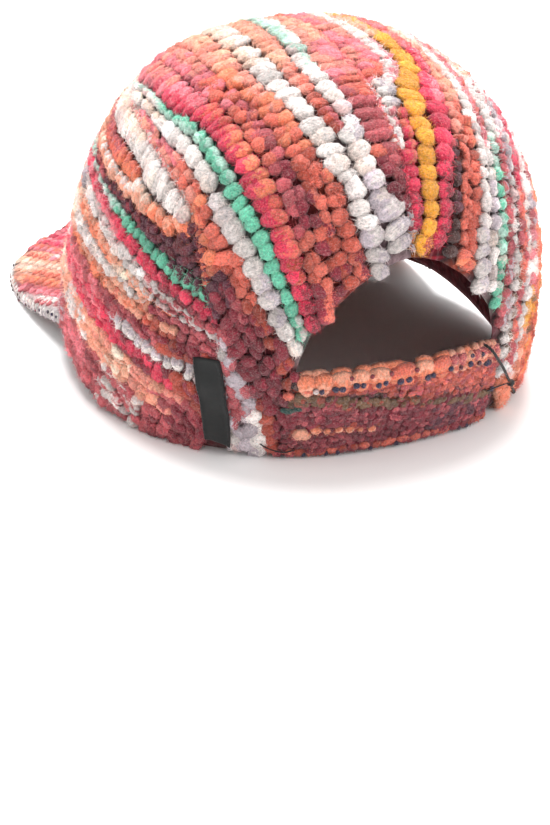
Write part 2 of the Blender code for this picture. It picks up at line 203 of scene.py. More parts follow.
# the pale yarns where rows begin at the front and top (stretches before .1) are partly the yarns' own colours and
# partly painted light: the top and front made paler where the lamp washes them out
# rows of the left back panel, from the side seam to the middle seam
leftBackRows = [
    knitRow("605 550 578 578 566 620 560 680 542 728 524 776",
        ".55 lilac grey, .7 lilac rose, .77 white lilac", 6.2, 2),
    knitRow("552 470 538 530 522 610 502 680 478 740 462 790",
        ".47 maroon plum, .6 maroon rose, .7 burgundy maroon, .8 maroon rust", 5.4, 2, 8),
    knitRow("505 450 494 530 478 610 452 680 428 740 415 790",
        ".45 maroon plum, .6 rose maroon, .7 maroon burgundy, .8 burgundy maroon", 5.4, 2, 8),
    knitRow("482 -64 491 44 476 134 467 212 479 284 482 344 478 416 461 470 446 572 440 620 410 686 392 740",
        "-.1 pink peach, .05 pink salmon, .18 coral salmon, .3 coral orange, .42 coral orange, .5 coral rust, "
        ".6 rust maroon, .68 maroon rust", 5.6, 2, 10),
    knitRow("440 -22 437 50 434 98 431 158 431 206 428 248 434 296 431 344 425 392 416 440 410 500 401 560 "
        "386 596 380 644 356 692 338 740",
        "-.1 white cream, .1 white white, .35 white grey, .5 white grey, .6 grey lilac, .68 grey white, "
        ".72 white grey", 6.6, 1, 12, 1.08, .0004),
    knitRow("430 -34 420 0 398 56 386 116 383 176 380 233 377 272 383 326 373 380 374 416 362 464 365 518 "
        "350 566 341 620 329 674 320 716",
        "-.1 white paleMint, 0 paleMint mint, .2 mint paleMint, .34 mint mint, .6 mint mint, .7 mint grey",
        5.2, 1, 0, 1.0, .0005, 0, .72),
    knitRow("377 0 338 80 332 134 329 176 326 224 323 263 320 314 317 350 314 398 305 458 299 512 296 600 "
        "278 692",
        "-.2 pink salmon, .02 raspberry pink, .1 raspberry coral, .2 raspberry orange, .45 raspberry coral, "
        ".58 raspberry rust, .66 raspberry maroon", 5.4, 1, 16, 1.05, .0004, 0, 1.35),
    knitRow("296 -64 287 -10 266 68 260 128 266 200 260 272 254 344 254 410 260 458 266 542 260 620",
        "-.1 salmon pink, .02 coral pink, .12 rose coral, .2 rose coral, .3 maroon rose, .42 maroon rose, "
        ".47 rose rust, .55 coral rust, .62 coral maroon", 5.4, 2, 14, 1.0, .0002),
    knitRow("230 -64 227 0 221 86 206 152 209 200 200 260 203 320 194 380 212 488 206 548 176 602",
        "-.1 peach salmon, .05 salmon orange, .2 orange coral, .35 coral rust, .48 coral maroon, .56 rust maroon",
        5.2, 2, -10, 1.0, .0002),
    knitRow("164 360 158 392 164 452 152 506 146 554 140 620",
        ".36 coral orange, .45 coral rust, .52 rust coral, .58 coral maroon", 5.0, 1, 12),
    knitRow("161 -64 152 0 149 50 143 98 140 152 140 200 134 248 131 290 128 350 113 422 122 476 98 524 92 572 "
        "86 620 86 650",
        "-.1 cream white, .1 white white, .3 white grey, .44 grey white, .54 lilac grey, .62 grey lilac",
        6.0, 1, 10, 1.05, .0004),
    knitRow("101 -40 110 50 104 152 101 200 97 235",
        "-.1 peach salmon, .08 salmon coral, .14 coral rust, .2 rust rose", 4.4, 1),
    knitRow("56 -70 65 0 68 38 71 98 68 164 71 236 74 284 71 356 56 416 47 470 47 530 29 566 26 608 32 644",
        "-.1 paleMint white, -.02 white paleMint, .08 white white, .2 white lilac, .36 grey white, .45 lilac grey, "
        ".55 grey lilac", 6.0, 1, -10, 1.05, .0004),
    knitRow("22 -70 26 0 38 40 38 68 32 164 32 236 29 284 26 344 20 398 18 440 8 476",
        "-.1 peach salmon, .02 pink salmon, .1 coral rose, .25 rose coral, .36 rose maroon, .42 maroon burgundy",
        4.8, 2),
]

# rows of the right back panel, from the middle seam outwards, mirrored to the left side
rightBackRows = [
    knitRow("26 -70 24 0 20 50 16 90",
        "-.1 pink salmon, 0 salmon pink, .06 pink coral", 4.8, 2),
    knitRow("62 -70 60 0 52 50 36 80 20 100 16 128 11 158 8 236 4 330",
        "-.1 white cream, .02 white pink, .1 white lilac, .2 white pink, .3 white white", 4.6, 1),
    knitRow("24 200 22 260 15 332 14 368 12 416 10 480 7 560",
        ".2 coral raspberry, .3 raspberry coral, .4 raspberry raspberry, .5 raspberry maroon", 4.8, 1),
    knitRow("100 -70 100 0 97 50 61 98 52 152 47 212 43 260 52 314 40 368 37 434 31 506 19 566 12 620 10 650",
        "-.1 peach mustard, 0 mustard mustard, .5 mustard mustard, .58 mustard rust, .64 mustard rust",
        6.4, 1, -14, 1.1, .0005),
    knitRow("151 -40 136 50 124 110 112 152 112 260 103 308 97 356 94 416 91 458 88 524 58 566 52 602 49 650",
        "-.1 pink coral, .1 raspberry pink, .3 raspberry raspberry, .53 raspberry maroon, .6 maroon raspberry, "
        ".65 raspberry raspberry", 6.4, 1, -8, 1.05, .0004),
    knitRow("142 300 136 380 118 440 106 548 94 608 88 650",
        ".3 rose brown, .4 brown plum, .6 brown brown", 5.0, 1, 0, .8, -.0006),
    knitRow("185 -50 170 60 158 200 154 284 154 458 148 542 136 620 136 674",
        "-.1 cream peach, .1 peach salmon, .22 salmon coral, .3 coral salmon, .45 coral coral, .6 coral rust, "
        ".66 orange coral", 4.6, 2, 6),
    knitRow("192 230 187 272 190 320 184 380 175 458 169 512 165 540",
        ".25 coral orange, .45 coral rust", 4.8, 1),
    knitRow("215 -50 210 120 214 236 220 290 214 350 208 398 214 500 202 560 214 608 220 674",
        "-.1 white cream, .2 white white, .35 white grey, .5 grey white, .62 grey lilac", 5.8, 1, 10, 1.0, .0002),
    knitRow("246 -50 240 110 244 240 244 344 253 410 256 480 250 608 256 668",
        "-.1 pink coral, .2 pink coral, .27 pink white, .36 white grey, .5 lilac white, .64 grey white", 5.6, 1, 0),
    knitRow("275 -50 270 200 266 350 274 410 277 458 286 512 292 554 295 620 298 656 292 698",
        "-.1 white peach, .2 white white, .32 paleMint white, .44 mint paleMint, .52 paleMint mint, .65 mint grey",
        5.2, 1, 30, .9),
    knitRow("318 -50 318 200 319 392 316 458 328 550 340 656 343 704",
        "-.1 peach white, .2 white pink, .36 rose lilac, .5 rose maroon, .6 rose lilac", 5.4, 1, 0, .9),
    knitRow("345 -50 345 300 343 428 358 500 376 620 388 680",
        "-.1 white white, .3 lilac white, .45 grey brown, .6 grey olive", 5.4, 1, 0, .9),
    knitRow("385 -50 385 200 385 380 385 452 412 536 424 584 448 680",
        "-.1 coral pink, .2 pink raspberry, .33 raspberry pink, .46 rose coral, .6 coral rose", 5.2, 2, 0),
    knitRow("428 -50 430 300 440 450 468 600 485 700",
        "-.1 white cream, .2 white white, .4 white grey, .6 grey white", 5.6, 1, 0),
    knitRow("475 -50 478 300 490 480 525 620 545 720",
        "-.1 lilac rose, .2 rose white, .4 rose lilac, .52 pink white, .62 mustard olive, .7 orange peach",
        5.2, 2, 0),
]

# rows of the left side panel, from its upper seam down to the rim
leftSideRows = [
    knitRow("534 -114 534 0 540 60 543 120 528 210 522 270",
        "-.4 cream white, -.1 white cream, .1 white white, .22 white grey", 3.9, 1, -24, 1.25, .0002),
    knitRow("576 -114 579 60",
        "-.4 peach rose, -.1 coral rose, .03 orange coral", 4.4, 1, -14),
    knitRow("630 -30 621 42 612 102 606 150 594 186 576 240 549 300",
        "-.4 peach cream, 0 peach white, .1 peach cream, .2 orange peach", 5.0, 1, -30, 1.0),
    knitRow("648 -90 654 0 642 60 639 138 624 210 603 282 570 348 540 408",
        "-.4 rose plum, -.1 plum rose, .1 plum maroon, .3 plum burgundy", 4.2, 3, 18, .85, -.0003, .5),
    knitRow("672 30 669 72 666 132 654 198 642 258 630 300 612 348 594 390 570 432",
        "0 grey paleMint, .05 mint paleMint, .15 mint mint, .46 mint plum", 4.4, 1, 0, .85),
    knitRow("678 -120 690 0 696 48 690 102 683 186 675 246 660 318 639 390 609 450 579 498",
        "-.4 pink raspberry, 0 raspberry pink, .2 raspberry raspberry, .4 raspberry maroon", 5.0, 2, 16, 1.0, .0002),
    knitRow("722 -20 729 18 729 114 720 150 717 198 705 240 684 330 660 390",
        "-.4 white lilac, 0 grey white, .2 grey white, .3 grey rose", 4.6, 2, 6),
    knitRow("750 -90 756 -18 758 30 760 110 741 216 729 282 690 390 660 450 630 500",
        "-.4 peach cream, 0 peach orange, .15 peach cream, .25 grey peach, .32 peach coral, .42 rose maroon",
        4.4, 2, 4),
    knitRow("790 -50 786 0 780 120 756 234 726 294 702 348 678 402 624 480",
        "-.4 white cream, 0 white grey, .2 grey peach, .35 grey orange, .44 rose grey", 4.4, 2, 4),
    knitRow("816 -60 816 0 815 60 804 150 786 234 768 270 738 372 684 450 645 510",
        "-.4 cream peach, 0 peach orange, .2 peach coral, .3 orange peach, .38 peach rust, .46 rose maroon",
        4.4, 2, 6),
    knitRow("842 0 840 60 828 138 786 270 768 342 720 456 684 498 657 528",
        "-.4 pink white, 0 rose pink, .1 maroon rose, .3 maroon rose, .45 maroon rust", 4.6, 2, 16, 1.1),
    knitRow("845 170 840 210 827 258 804 342 780 390 756 456 720 510 690 558",
        ".15 lilac rose, .3 white lilac, .5 white lilac", 4.6, 1, 0, .85),
    knitRow("873 0 864 120 852 222 840 282 816 360 780 432 744 498 690 600",
        "-.4 pink raspberry, 0 raspberry pink, .2 raspberry raspberry, .35 raspberry maroon, .5 maroon raspberry, "
        ".56 maroon rust", 5.0, 2, 12, 1.2),
    knitRow("924 0 924 90 915 132 891 240 864 330 840 420 810 498 756 570 720 648",
        "-.4 cream peach, 0 peach white, .15 peach salmon, .3 peach cream, .42 salmon peach, .5 peach rose, "
        ".56 salmon rose, .6 rose maroon", 4.8, 2, 8, 1.3, .0002),
    knitRow("968 0 960 120 942 240 918 330 882 420 830 520 780 600",
        "-.4 rose lilac, 0 rose pink, .15 rose maroon, .24 grey rose, .32 white rose, .42 grey rose, "
        ".5 maroon rose, .58 maroon rose", 4.8, 2, 8, 1.2),
]

# rows of the right side panel, mirrored to the left side
rightSideRows = [
    knitRow("545 -100 545 120 540 300",
        "-.4 white cream, 0 pink white, .16 coral pink, .24 orange mustard", 5.4, 2, 8),
    knitRow("600 -100 600 120 575 300 548 420",
        "-.4 pink rose, 0 white grey, .25 orange peach", 6.0, 1, 6),
    knitRow("652 -100 652 120 625 300 580 460",
        "-.4 white grey, 0 grey white, .3 orange coral", 6.0, 1, 6),
    knitRow("700 -100 700 120 670 320 600 500",
        "-.4 raspberry pink, .2 raspberry maroon, .4 coral orange", 6.0, 2, 10),
    knitRow("748 -100 748 120 712 340 635 530",
        "-.4 peach orange, .2 grey white, .42 mustard orange", 6.0, 1, 6),
    knitRow("795 -100 795 120 757 360 670 560",
        "-.4 maroon rose, .2 maroon plum, .45 rust coral", 5.4, 2, 12),
    knitRow("840 -100 840 120 800 380 705 600",
        "-.4 white lilac, .2 white grey, .48 orange mustard", 5.8, 1, 6),
    knitRow("885 -100 885 120 842 400 740 630",
        "-.4 mint white, .1 raspberry pink, .5 coral rust", 5.8, 1, 6),
    knitRow("930 -100 930 120 880 420 775 650",
        "-.4 peach cream, .2 orange peach, .5 orange coral", 5.8, 2, 6),
    knitRow("970 -100 970 120 915 440 800 660",
        "-.4 rose maroon, .2 maroon rose, .5 coral orange", 5.4, 2, 8),
]

# rows of the front panel run from side to side, given as distance forward and place across
frontTones = ["coral", "white", "peach", "raspberry", "white", "rose", "orange", "white", "mint", "coral",
              "grey", "mustard", "raspberry", "peach", "maroon", "white", "coral", "lilac"]


def frontPanelRows():
    rows = []
    reach = 0.325
    step = 0
    while reach < 0.985:
        one = frontTones[step % len(frontTones)]
        two = frontTones[(step * 5 + 3) % len(frontTones)]
        path = []
        for turn in np.linspace(-148, -32, 15):
            angle = math.radians(turn)
            path.append((-reach * math.sin(angle), reach * math.cos(angle)))
        change = 0.25 * math.sin(step * 2.4)
        rows.append(course(path, [(-.8, one, one), (change - 0.45, one, two), (change - 0.15, two, one),
                                  (change + 0.1, one, one), (change + 0.5, one, two)], 6.0, 1 + step % 2, 6))
        reach += 0.043 if reach > 0.9 else 0.047
        step += 1
    return rows


def spreadRows(rows, grid, kind):
    # every row's place across against lengthwise, continued to the panel's ends
    table = np.full((len(rows), len(grid)), np.nan)
    for index, row in enumerate(rows):
        across, length = np.array(sorted(row["path"], key=lambda p: p[1])).T
        if kind != "front" and length[0] <= 0.05:  # runs on to the front
            start = length[0]
            more = np.arange(-0.76, start - 0.02, 0.02)
            if kind == "side":
                reach = math.hypot(across[0], start)
                ahead = np.sqrt(np.maximum(reach * reach - more * more, 0.0004))
            else:
                ahead = np.full(len(more), across[0])
            across = np.concatenate((ahead, across))
            length = np.concatenate((more, length))
        least, more = {"top": (0.6, 0.12), "side": (0.38, 0.1), "front": (9.0, 0.0)}[kind]
        if length[-1] >= least:
            slope = (across[-1] - across[-2]) / (length[-1] - length[-2])
            across = np.append(across, across[-1] + slope * more)
            length = np.append(length, length[-1] + more)
        inside = (grid >= length[0]) & (grid <= length[-1])
        table[index, inside] = np.interp(grid[inside], length, across)
    return table


def edgeTable(path, grid):  # a seam as across against lengthwise
    order = np.argsort(path[:, 1])
    return np.interp(grid, path[order, 1], path[order, 0])


def toneAt(tones, place, shift):
    spot = place + shift
    for index in range(len(tones) - 1):
        if spot < tones[index + 1][0]:
            low, high = tones[index][0], tones[index + 1][0]
            share = min(max((spot - low) / max(high - low, 1e-6), 0), 1)
            pick = tones[index] if share < 0.5 else tones[index + 1]
            return pick[1], pick[2]
    return tones[-1][1], tones[-1][2]


def insideOutline(outline, spots):
    x, y = spots[:, 0], spots[:, 1]
    hit = np.zeros(len(spots), bool)
    count = len(outline)
    for index in range(count):
        x0, y0 = outline[index]
        x1, y1 = outline[(index + 1) % count]
        if y0 == y1:
            continue
        hit ^= ((y0 > y) != (y1 > y)) & (x < (x1 - x0) * (y - y0) / (y1 - y0) + x0)
    return hit


def nearest(place, line):
    return np.sqrt(((place - line) ** 2).sum(-1).min())


def runOf(line):  # length from a line's start to each of its points
    return np.concatenate(([0], np.cumsum(np.linalg.norm(np.diff(line, axis=0), axis=1))))


def columnAt(grid, length):
    return min(max(int(round((length - grid[0]) / (grid[1] - grid[0]))), 0), len(grid) - 1)


puffing = {  # loops of every panel, in metres where a length
    "sink": 0.0008, "height": 0.0021, "seamInset": 0.0014, "edgeInset": 0.0012,
    "widest": 0.0070, "jitter": 0.00055, "toneSpread": 0.14, "irregular": 0.0026, "grain": 330.0,
    "column": 0.0098, "pairColumn": 0.0064, "seamStep": 0.0030, "tuft": (0.0019, 0.0018, 0.0016), "tuftSink": 0.0013,
    # lumps of a row against their places across it, and how wide and deep each one is
    "lumpForm": {1: ((0.0,), 0.55, 0.58), 2: ((-0.20, 0.20), 0.38, 0.56), 3: ((-0.31, 0.02, 0.31), 0.30, 0.54)},
}


class PuffList:
    def __init__(self):
        self.place, self.turn, self.size, self.tintA, self.tintB, self.seed = [], [], [], [], [], []

    def add(self, place, tangent, normal, yaw, size, toneA, toneB, rng, spread=None):
        normal = Vector(normal).normalized()
        tangent = Vector(tangent)
        tangent = (tangent - normal * tangent.dot(normal)).normalized()
        side = normal.cross(tangent)
        frameMatrix = Matrix((tangent, side, normal)).transposed()
        turned = frameMatrix @ Matrix.Rotation(yaw, 3, "Z")
        self.place.append(tuple(place))
        self.turn.append(tuple(turned.to_euler("XYZ")))
        self.size.append(tuple(size))
        spread = puffing["toneSpread"] if spread is None else spread
        light = 1.0 + rng.gauss(0, spread)
        for store, tone in ((self.tintA, toneA), (self.tintB, toneB)):
            colour = yarn[tone] if isinstance(tone, str) else tone
            if tone in ("white", "grey") and rng.random() < 0.45:  # undyed wool is never even
                colour = mixTone(colour, yarn[rng.choice(("grey", "lilac", "cream", "rose"))], rng.uniform(0.1, 0.42))
            own = light * (1 + rng.gauss(0, spread * 0.35))
            store.append((*(min(max(c * own, 0.004), 0.92) for c in colour), 1.0))
        self.seed.append(rng.random())


def fillPanel(rows, kind, flip, outline, freeEdges, seamEdges, lowLimit, highLimit, seed):
    # loops along every row, each as wide as the room between its neighbours
    rng = random.Random(seed)
    puffs = PuffList()
    grid = np.linspace(-0.76, 0.90, 831)
    table = spreadRows(rows, grid, kind)
    low = lowLimit(grid)
    high = highLimit(grid)
    count = len(rows)
    floorLine = np.full_like(table, np.nan)
    ceilLine = np.full_like(table, np.nan)
    for col in range(len(grid)):
        present = [i for i in range(count) if not np.isnan(table[i, col])]
        present.sort(key=lambda i: table[i, col])
        for step, i in enumerate(present):
            here = table[i, col]
            mine = rows[i]["room"]
            below, above = low[col], high[col]
            if step > 0:
                other = present[step - 1]
                below = here - (here - table[other, col]) * mine / (mine + rows[other]["room"])
            if step < len(present) - 1:
                other = present[step + 1]
                above = here + (table[other, col] - here) * mine / (mine + rows[other]["room"])
            floorLine[i, col] = max(below, low[col]) if here > low[col] else np.nan
            ceilLine[i, col] = min(above, high[col]) if here < high[col] else np.nan
    edgeSkin = np.concatenate([skinPoint(line[:, 0], line[:, 1]) for line in freeEdges])
    seamSkin = np.concatenate([skinPoint(line[:, 0], line[:, 1]) for line in seamEdges])
    sign = -1.0 if flip else 1.0

    def chartPair(across, length):
        if kind == "front":
            return length, -across
        return across * sign, length

    spots = []
    for i, row in enumerate(rows):
        good = ~np.isnan(floorLine[i]) & ~np.isnan(ceilLine[i])
        if good.sum() < 4:
            continue
        mid = (floorLine[i] + ceilLine[i]) / 2
        index = np.where(good)[0]
        across, length = mid[index], grid[index]
        a, b = chartPair(across, length)
        line = skinPoint(a, b)
        run = runOf(line)
        broke = np.where(np.diff(index) > 1)[0]
        where = rng.random() * 0.003
        while where < run[-1]:
            step = row["step"] * 0.001 * (1 + rng.uniform(-0.14, 0.14))
            k = int(np.searchsorted(run, where))
            k = min(max(k, 1), len(run) - 2)
            if not any(abs(k - cut) < 2 for cut in broke):
                spots.append((i, across[k], length[k], floorLine[i, index[k]], ceilLine[i, index[k]],
                              line[k + 1] - line[k - 1], step))
            where += step
    for i, across, length, below, above, tangent, step in spots:
        row = rows[i]
        a0, b0 = chartPair(below, length)
        a1, b1 = chartPair(above, length)
        p0, p1 = skinPoint(a0, b0), skinPoint(a1, b1)
        width = float(np.linalg.norm(p1 - p0))
        if width < 0.0016:
            continue
        tone = toneAt(row["tones"], length, rng.uniform(-0.03, 0.03))
        lumps = row["lumps"]
        split = puffing["pairColumn"] if kind == "side" and lumps == 2 else puffing["column"]
        columns = max(1, round(width / split))
        room = width / columns
        shifts, wide, deep = puffing["lumpForm"][lumps]
        for column in range(columns):
            for lump, shift in enumerate(shifts):
                toneA, toneB = tone
                if lumps > 1:
                    pick = rng.random()
                    main, second = tone if (lump + column) % 2 == 0 else tone[::-1]
                    if pick < 0.12:
                        main, second = second, main
                    toneA, toneB = main, second if pick > 0.72 else main
                halfAcross = room * wide * rng.uniform(0.90, 1.12)
                halfAlong = step * deep * rng.uniform(0.88, 1.14) * row["shape"]
                halfAcross = min(halfAcross, puffing["widest"])
                tall = min(puffing["height"], 0.62 * min(halfAcross, halfAlong) + 0.0007)
                tall *= rng.uniform(0.85, 1.2) * (1 - 0.35 * row["felt"])
                slide = rng.uniform(-0.30, 0.30) * step if lumps > 1 else rng.uniform(-0.08, 0.08) * step
                share = (column + 0.5 + shift) / columns
                a, b = chartPair(below + (above - below) * share, length)
                normal = skinNormal(a, b)
                place = (skinPoint(a, b) + tangent / np.linalg.norm(tangent) * slide
                         + normal * (row["lift"] - puffing["sink"] + rng.uniform(-1, 1) * puffing["jitter"]))
                slant = math.radians(row["slant"] * (-sign) + rng.uniform(-13, 13))
                if not insideOutline(outline, np.array([(a, b)]))[0]:
                    continue
                seamAway = nearest(place, seamSkin)
                if nearest(place, edgeSkin) < puffing["edgeInset"] or seamAway < puffing["seamInset"]:
                    continue
                if seamAway < halfAcross:
                    halfAcross = max(seamAway, 0.0016)
                puffs.add(place, tangent, normal, slant, (halfAlong, halfAcross, tall), toneA, toneB, rng)
    for line in seamEdges[:2]:  # low tufts close the valley along the seams
        skin = skinPoint(line[:, 0], line[:, 1])
        run = runOf(skin)
        where = 0.004
        while where < run[-1] - 0.004:
            a, b = np.interp(where, run, line[:, 0]), np.interp(where, run, line[:, 1])
            a2, b2 = np.interp(where + 0.002, run, line[:, 0]), np.interp(where + 0.002, run, line[:, 1])
            across, length = (-b, a) if kind == "front" else (a * sign, b)
            gaps = np.abs(table[:, columnAt(grid, length)] - across)
            if not np.all(np.isnan(gaps)):
                one, two = toneAt(rows[int(np.nanargmin(gaps))]["tones"], length, rng.uniform(-.02, .02))
                normal = skinNormal(a, b)
                puffs.add(skinPoint(a, b) - normal * puffing["tuftSink"], skinPoint(a2, b2) - skinPoint(a, b), normal,
                          rng.uniform(-.5, .5), puffing["tuft"], one, two, rng)
            where += puffing["seamStep"] * rng.uniform(0.85, 1.15)
    return puffs, (grid, table)


def linked(name, mesh):  # a new object at the origin
    piece = bpy.data.objects.new(name, mesh)
    bpy.context.scene.collection.objects.link(piece)
    return piece


def pieceFrom(bm, name, look):
    mesh = bpy.data.meshes.new(name)
    bm.to_mesh(mesh)
    bm.free()
    mesh.materials.append(look)
    return linked(name, mesh)


def pointCloud(name, puffs):
    mesh = bpy.data.meshes.new(name)
    mesh.from_pydata(puffs.place, [], [])
    for attributeName, kind, key, values in (
        ("puffTurn", "FLOAT_VECTOR", "vector", puffs.turn), ("puffSize", "FLOAT_VECTOR", "vector", puffs.size),
        ("puffTintA", "FLOAT_COLOR", "color", puffs.tintA), ("puffTintB", "FLOAT_COLOR", "color", puffs.tintB),
        ("puffSeed", "FLOAT", "value", puffs.seed),
    ):
        layer = mesh.attributes.new(attributeName, kind, "POINT")
        layer.data.foreach_set(key, np.array(values, np.float32).ravel())
    return linked(name, mesh)


def socketNamed(tree, name):
    for item in tree.interface.items_tree:
        if item.item_type == "SOCKET" and item.in_out == "INPUT" and item.name == name:
            return item.identifier
    return None


def newTree(name, inputs):
    tree = bpy.data.node_groups.new(name, "GeometryNodeTree")
    for label, kind in (("Geometry", "Geometry"), *inputs):
        tree.interface.new_socket(label, in_out="INPUT", socket_type="NodeSocket" + kind)
    tree.interface.new_socket("Geometry", in_out="OUTPUT", socket_type="NodeSocketGeometry")
    return tree, tree.nodes.new("NodeGroupInput"), tree.nodes.new("NodeGroupOutput")


def feed(tree, port, value):  # another node's output or a fixed value into a socket
    if isinstance(value, bpy.types.NodeSocket):
        tree.links.new(value, port)
    else:
        port.default_value = value


def put(tree, kind, feeds={}, **settings):
    # a node with its settings, and what goes into the inputs named or numbered
    node = tree.nodes.new(kind)
    for name, value in settings.items():
        setattr(node, name, value)
    for name, value in feeds.items():
        port = node.inputs[name] if isinstance(name, int) else next(
            s for s in node.inputs if s.enabled and s.name == name)
        feed(tree, port, value)
    return node


def out(node, name=None):  # the first output in use, or the one with this name
    return next(s for s in node.outputs if s.enabled and name in (None, s.name))


def maths(tree, operation, *values):
    return out(put(tree, "ShaderNodeMath", dict(enumerate(values)), operation=operation))


def noise(tree, spot, scale, detail=2.0, roughness=0.5):
    return out(put(tree, "ShaderNodeTexNoise", {
        "Vector": spot, "Scale": scale, "Detail": detail, "Roughness": roughness}))


def named(tree, name):
    node = put(tree, "GeometryNodeInputNamedAttribute", {"Name": name}, data_type="FLOAT_VECTOR")
    return out(node, "Attribute")


def attribute(tree, name, output):
    return out(put(tree, "ShaderNodeAttribute", attribute_name=name), output)


def objectSpot(tree):
    return out(put(tree, "ShaderNodeTexCoord"), "Object")


def buildPuffTree():  # loops of wool set on the points of the rows
    tree, start, end = newTree("woolPuffs", (("Irregular", "Float"), ("Grain", "Float"), ("Finish", "Material")))
    spot = out(put(tree, "GeometryNodeInputPosition"))
    ball = put(tree, "GeometryNodeMeshIcoSphere", {"Radius": 1.0, "Subdivisions": 2})
    keep = put(tree, "GeometryNodeStoreNamedAttribute", {
        "Geometry": out(ball, "Mesh"), "Name": "puffCoord", "Value": spot}, data_type="FLOAT_VECTOR", domain="POINT")
    turn = put(tree, "FunctionNodeEulerToRotation", {"Euler": named(tree, "puffTurn")})
    place = put(tree, "GeometryNodeInstanceOnPoints", {
        "Points": out(start, "Geometry"), "Instance": out(keep), "Rotation": out(turn),
        "Scale": named(tree, "puffSize")})
    solid = put(tree, "GeometryNodeRealizeInstances", {"Geometry": out(place)})
    rough = put(tree, "ShaderNodeTexNoise", {"Vector": spot, "Scale": out(start, "Grain"), "Detail": 1.0})
    centred = put(tree, "ShaderNodeVectorMath", {0: out(rough, "Color"), 1: (0.5, 0.5, 0.5)}, operation="SUBTRACT")
    scaled = put(tree, "ShaderNodeVectorMath", {0: out(centred)}, operation="SCALE")
    tree.links.new(out(start, "Irregular"), scaled.inputs["Scale"])
    move = put(tree, "GeometryNodeSetPosition", {"Geometry": out(solid), "Offset": out(scaled)})
    even = put(tree, "GeometryNodeSetShadeSmooth", {"Geometry": out(move)})
    paint = put(tree, "GeometryNodeSetMaterial", {"Geometry": out(even), "Material": out(start, "Finish")})
    tree.links.new(out(paint), end.inputs["Geometry"])
    return tree


fuzz = {  # stray fibres in metres and per square metre, how far they lean, and how their length differs
    "density": 880000.0, "length": 0.0029, "thickness": 0.000080, "leanLeast": 32, "leanMost": 86, "shortest": 0.45,
}


def buildFuzzTree():  # stray fibres standing out of the wool
    tree, start, end = newTree("woolFuzz", (
        ("Density", "Float"), ("Length", "Float"), ("Thickness", "Float"), ("Seed", "Int"), ("Finish", "Material")))
    seed, thickness = out(start, "Seed"), out(start, "Thickness")
    local = put(tree, "ShaderNodeSeparateXYZ", {"Vector": named(tree, "puffCoord")})
    above = maths(tree, "GREATER_THAN", out(local, "Z"), 0.05)
    spread = put(tree, "GeometryNodeDistributePointsOnFaces", {
        "Mesh": out(start, "Geometry"), "Density": maths(tree, "MULTIPLY", above, out(start, "Density")),
        "Seed": seed})
    hair = put(tree, "GeometryNodeMeshCone", {"Vertices": 3, "Radius Top": 0.0, "Radius Bottom": 1.0, "Depth": 1.0})
    angle = put(tree, "FunctionNodeRandomValue", data_type="FLOAT_VECTOR")
    size = put(tree, "FunctionNodeRandomValue", data_type="FLOAT")
    for node, low, high in (
        (angle, (math.radians(fuzz["leanLeast"]), 0.0, 0.0), (math.radians(fuzz["leanMost"]), 0.0, math.radians(360))),
        (size, fuzz["shortest"], 1.0),
    ):
        for label, value in (("Min", low), ("Max", high), ("Seed", seed)):
            feed(tree, next(s for s in node.inputs if s.enabled and s.name == label), value)
    leanTurn = put(tree, "FunctionNodeEulerToRotation", {"Euler": out(angle)})
    rotate = put(tree, "FunctionNodeRotateRotation", {
        "Rotation": out(spread, "Rotation"), "Rotate By": out(leanTurn)}, rotation_space="LOCAL")
    longer = maths(tree, "MULTIPLY", out(size), out(start, "Length"))
    scale = put(tree, "ShaderNodeCombineXYZ", {"X": thickness, "Y": thickness, "Z": longer})
    place = put(tree, "GeometryNodeInstanceOnPoints", {
        "Points": out(spread, "Points"), "Instance": out(hair, "Mesh"), "Rotation": out(rotate), "Scale": out(scale)})
    solid = put(tree, "GeometryNodeRealizeInstances", {"Geometry": out(place)})
    paint = put(tree, "GeometryNodeSetMaterial", {"Geometry": out(solid), "Material": out(start, "Finish")})
    tree.links.new(out(paint), end.inputs["Geometry"])
    return tree


def grown(piece, tree, values, name):
    # evaluates a tree on a piece and keeps the result as a plain mesh, none of it under the floor
    modifier = piece.modifiers.new("grow", "NODES")
    modifier.node_group = tree
    for label, value in values.items():
        modifier[socketNamed(tree, label)] = value
    bpy.context.view_layer.update()
    evaluated = piece.evaluated_get(bpy.context.evaluated_depsgraph_get())
    mesh = bpy.data.meshes.new_from_object(evaluated)
    piece.modifiers.remove(modifier)
    spots = np.zeros(len(mesh.vertices) * 3, np.float32)
    mesh.vertices.foreach_get("co", spots)
    spots[2::3] = np.maximum(spots[2::3], 0.0)
    mesh.vertices.foreach_set("co", spots)
    mesh.update()
    for attributeName in ("puffTurn", "puffSize"):
        layer = mesh.attributes.get(attributeName)
        if layer:
            mesh.attributes.remove(layer)
    mesh.name = name
    return linked(name, mesh)


def finish(piece, slotName, *nodes):
    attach(piece, "root")
    if nodes:
        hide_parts(*nodes)
    return piece


def newLook(name, roughness, sheen=0.0, specular=0.2):
    look = bpy.data.materials.new(name)
    look.use_nodes = True
    shader = look.node_tree.nodes["Principled BSDF"]
    for label, value in (("Roughness", roughness), ("Sheen Weight", sheen), ("Sheen Roughness", 0.5),
                         ("Specular IOR Level", specular)):
        shader.inputs[label].default_value = value
    return look, look.node_tree, shader


def mixColour(tree, kind, factor, one, two):
    node = put(tree, "ShaderNodeMix", data_type="RGBA", blend_type=kind)
    for port, value in zip([s for s in node.inputs if s.enabled], (factor, one, two)):
        feed(tree, port, value)
    return out(node)


def multiplied(tree, one, two):
    return mixColour(tree, "MULTIPLY", 1.0, one, two)


def ranged(tree, source, low, high, newLow, newHigh, smooth=False):
    return out(put(tree, "ShaderNodeMapRange", {
        "Value": source, "From Min": low, "From Max": high, "To Min": newLow, "To Max": newHigh},
        interpolation_type="SMOOTHSTEP" if smooth else "LINEAR"))


def bump(tree, height, strength, distance, under=None, invert=False):
    node = put(tree, "ShaderNodeBump", {"Height": height, "Strength": strength, "Distance": distance}, invert=invert)
    if under:
        tree.links.new(under, node.inputs["Normal"])
    return out(node)


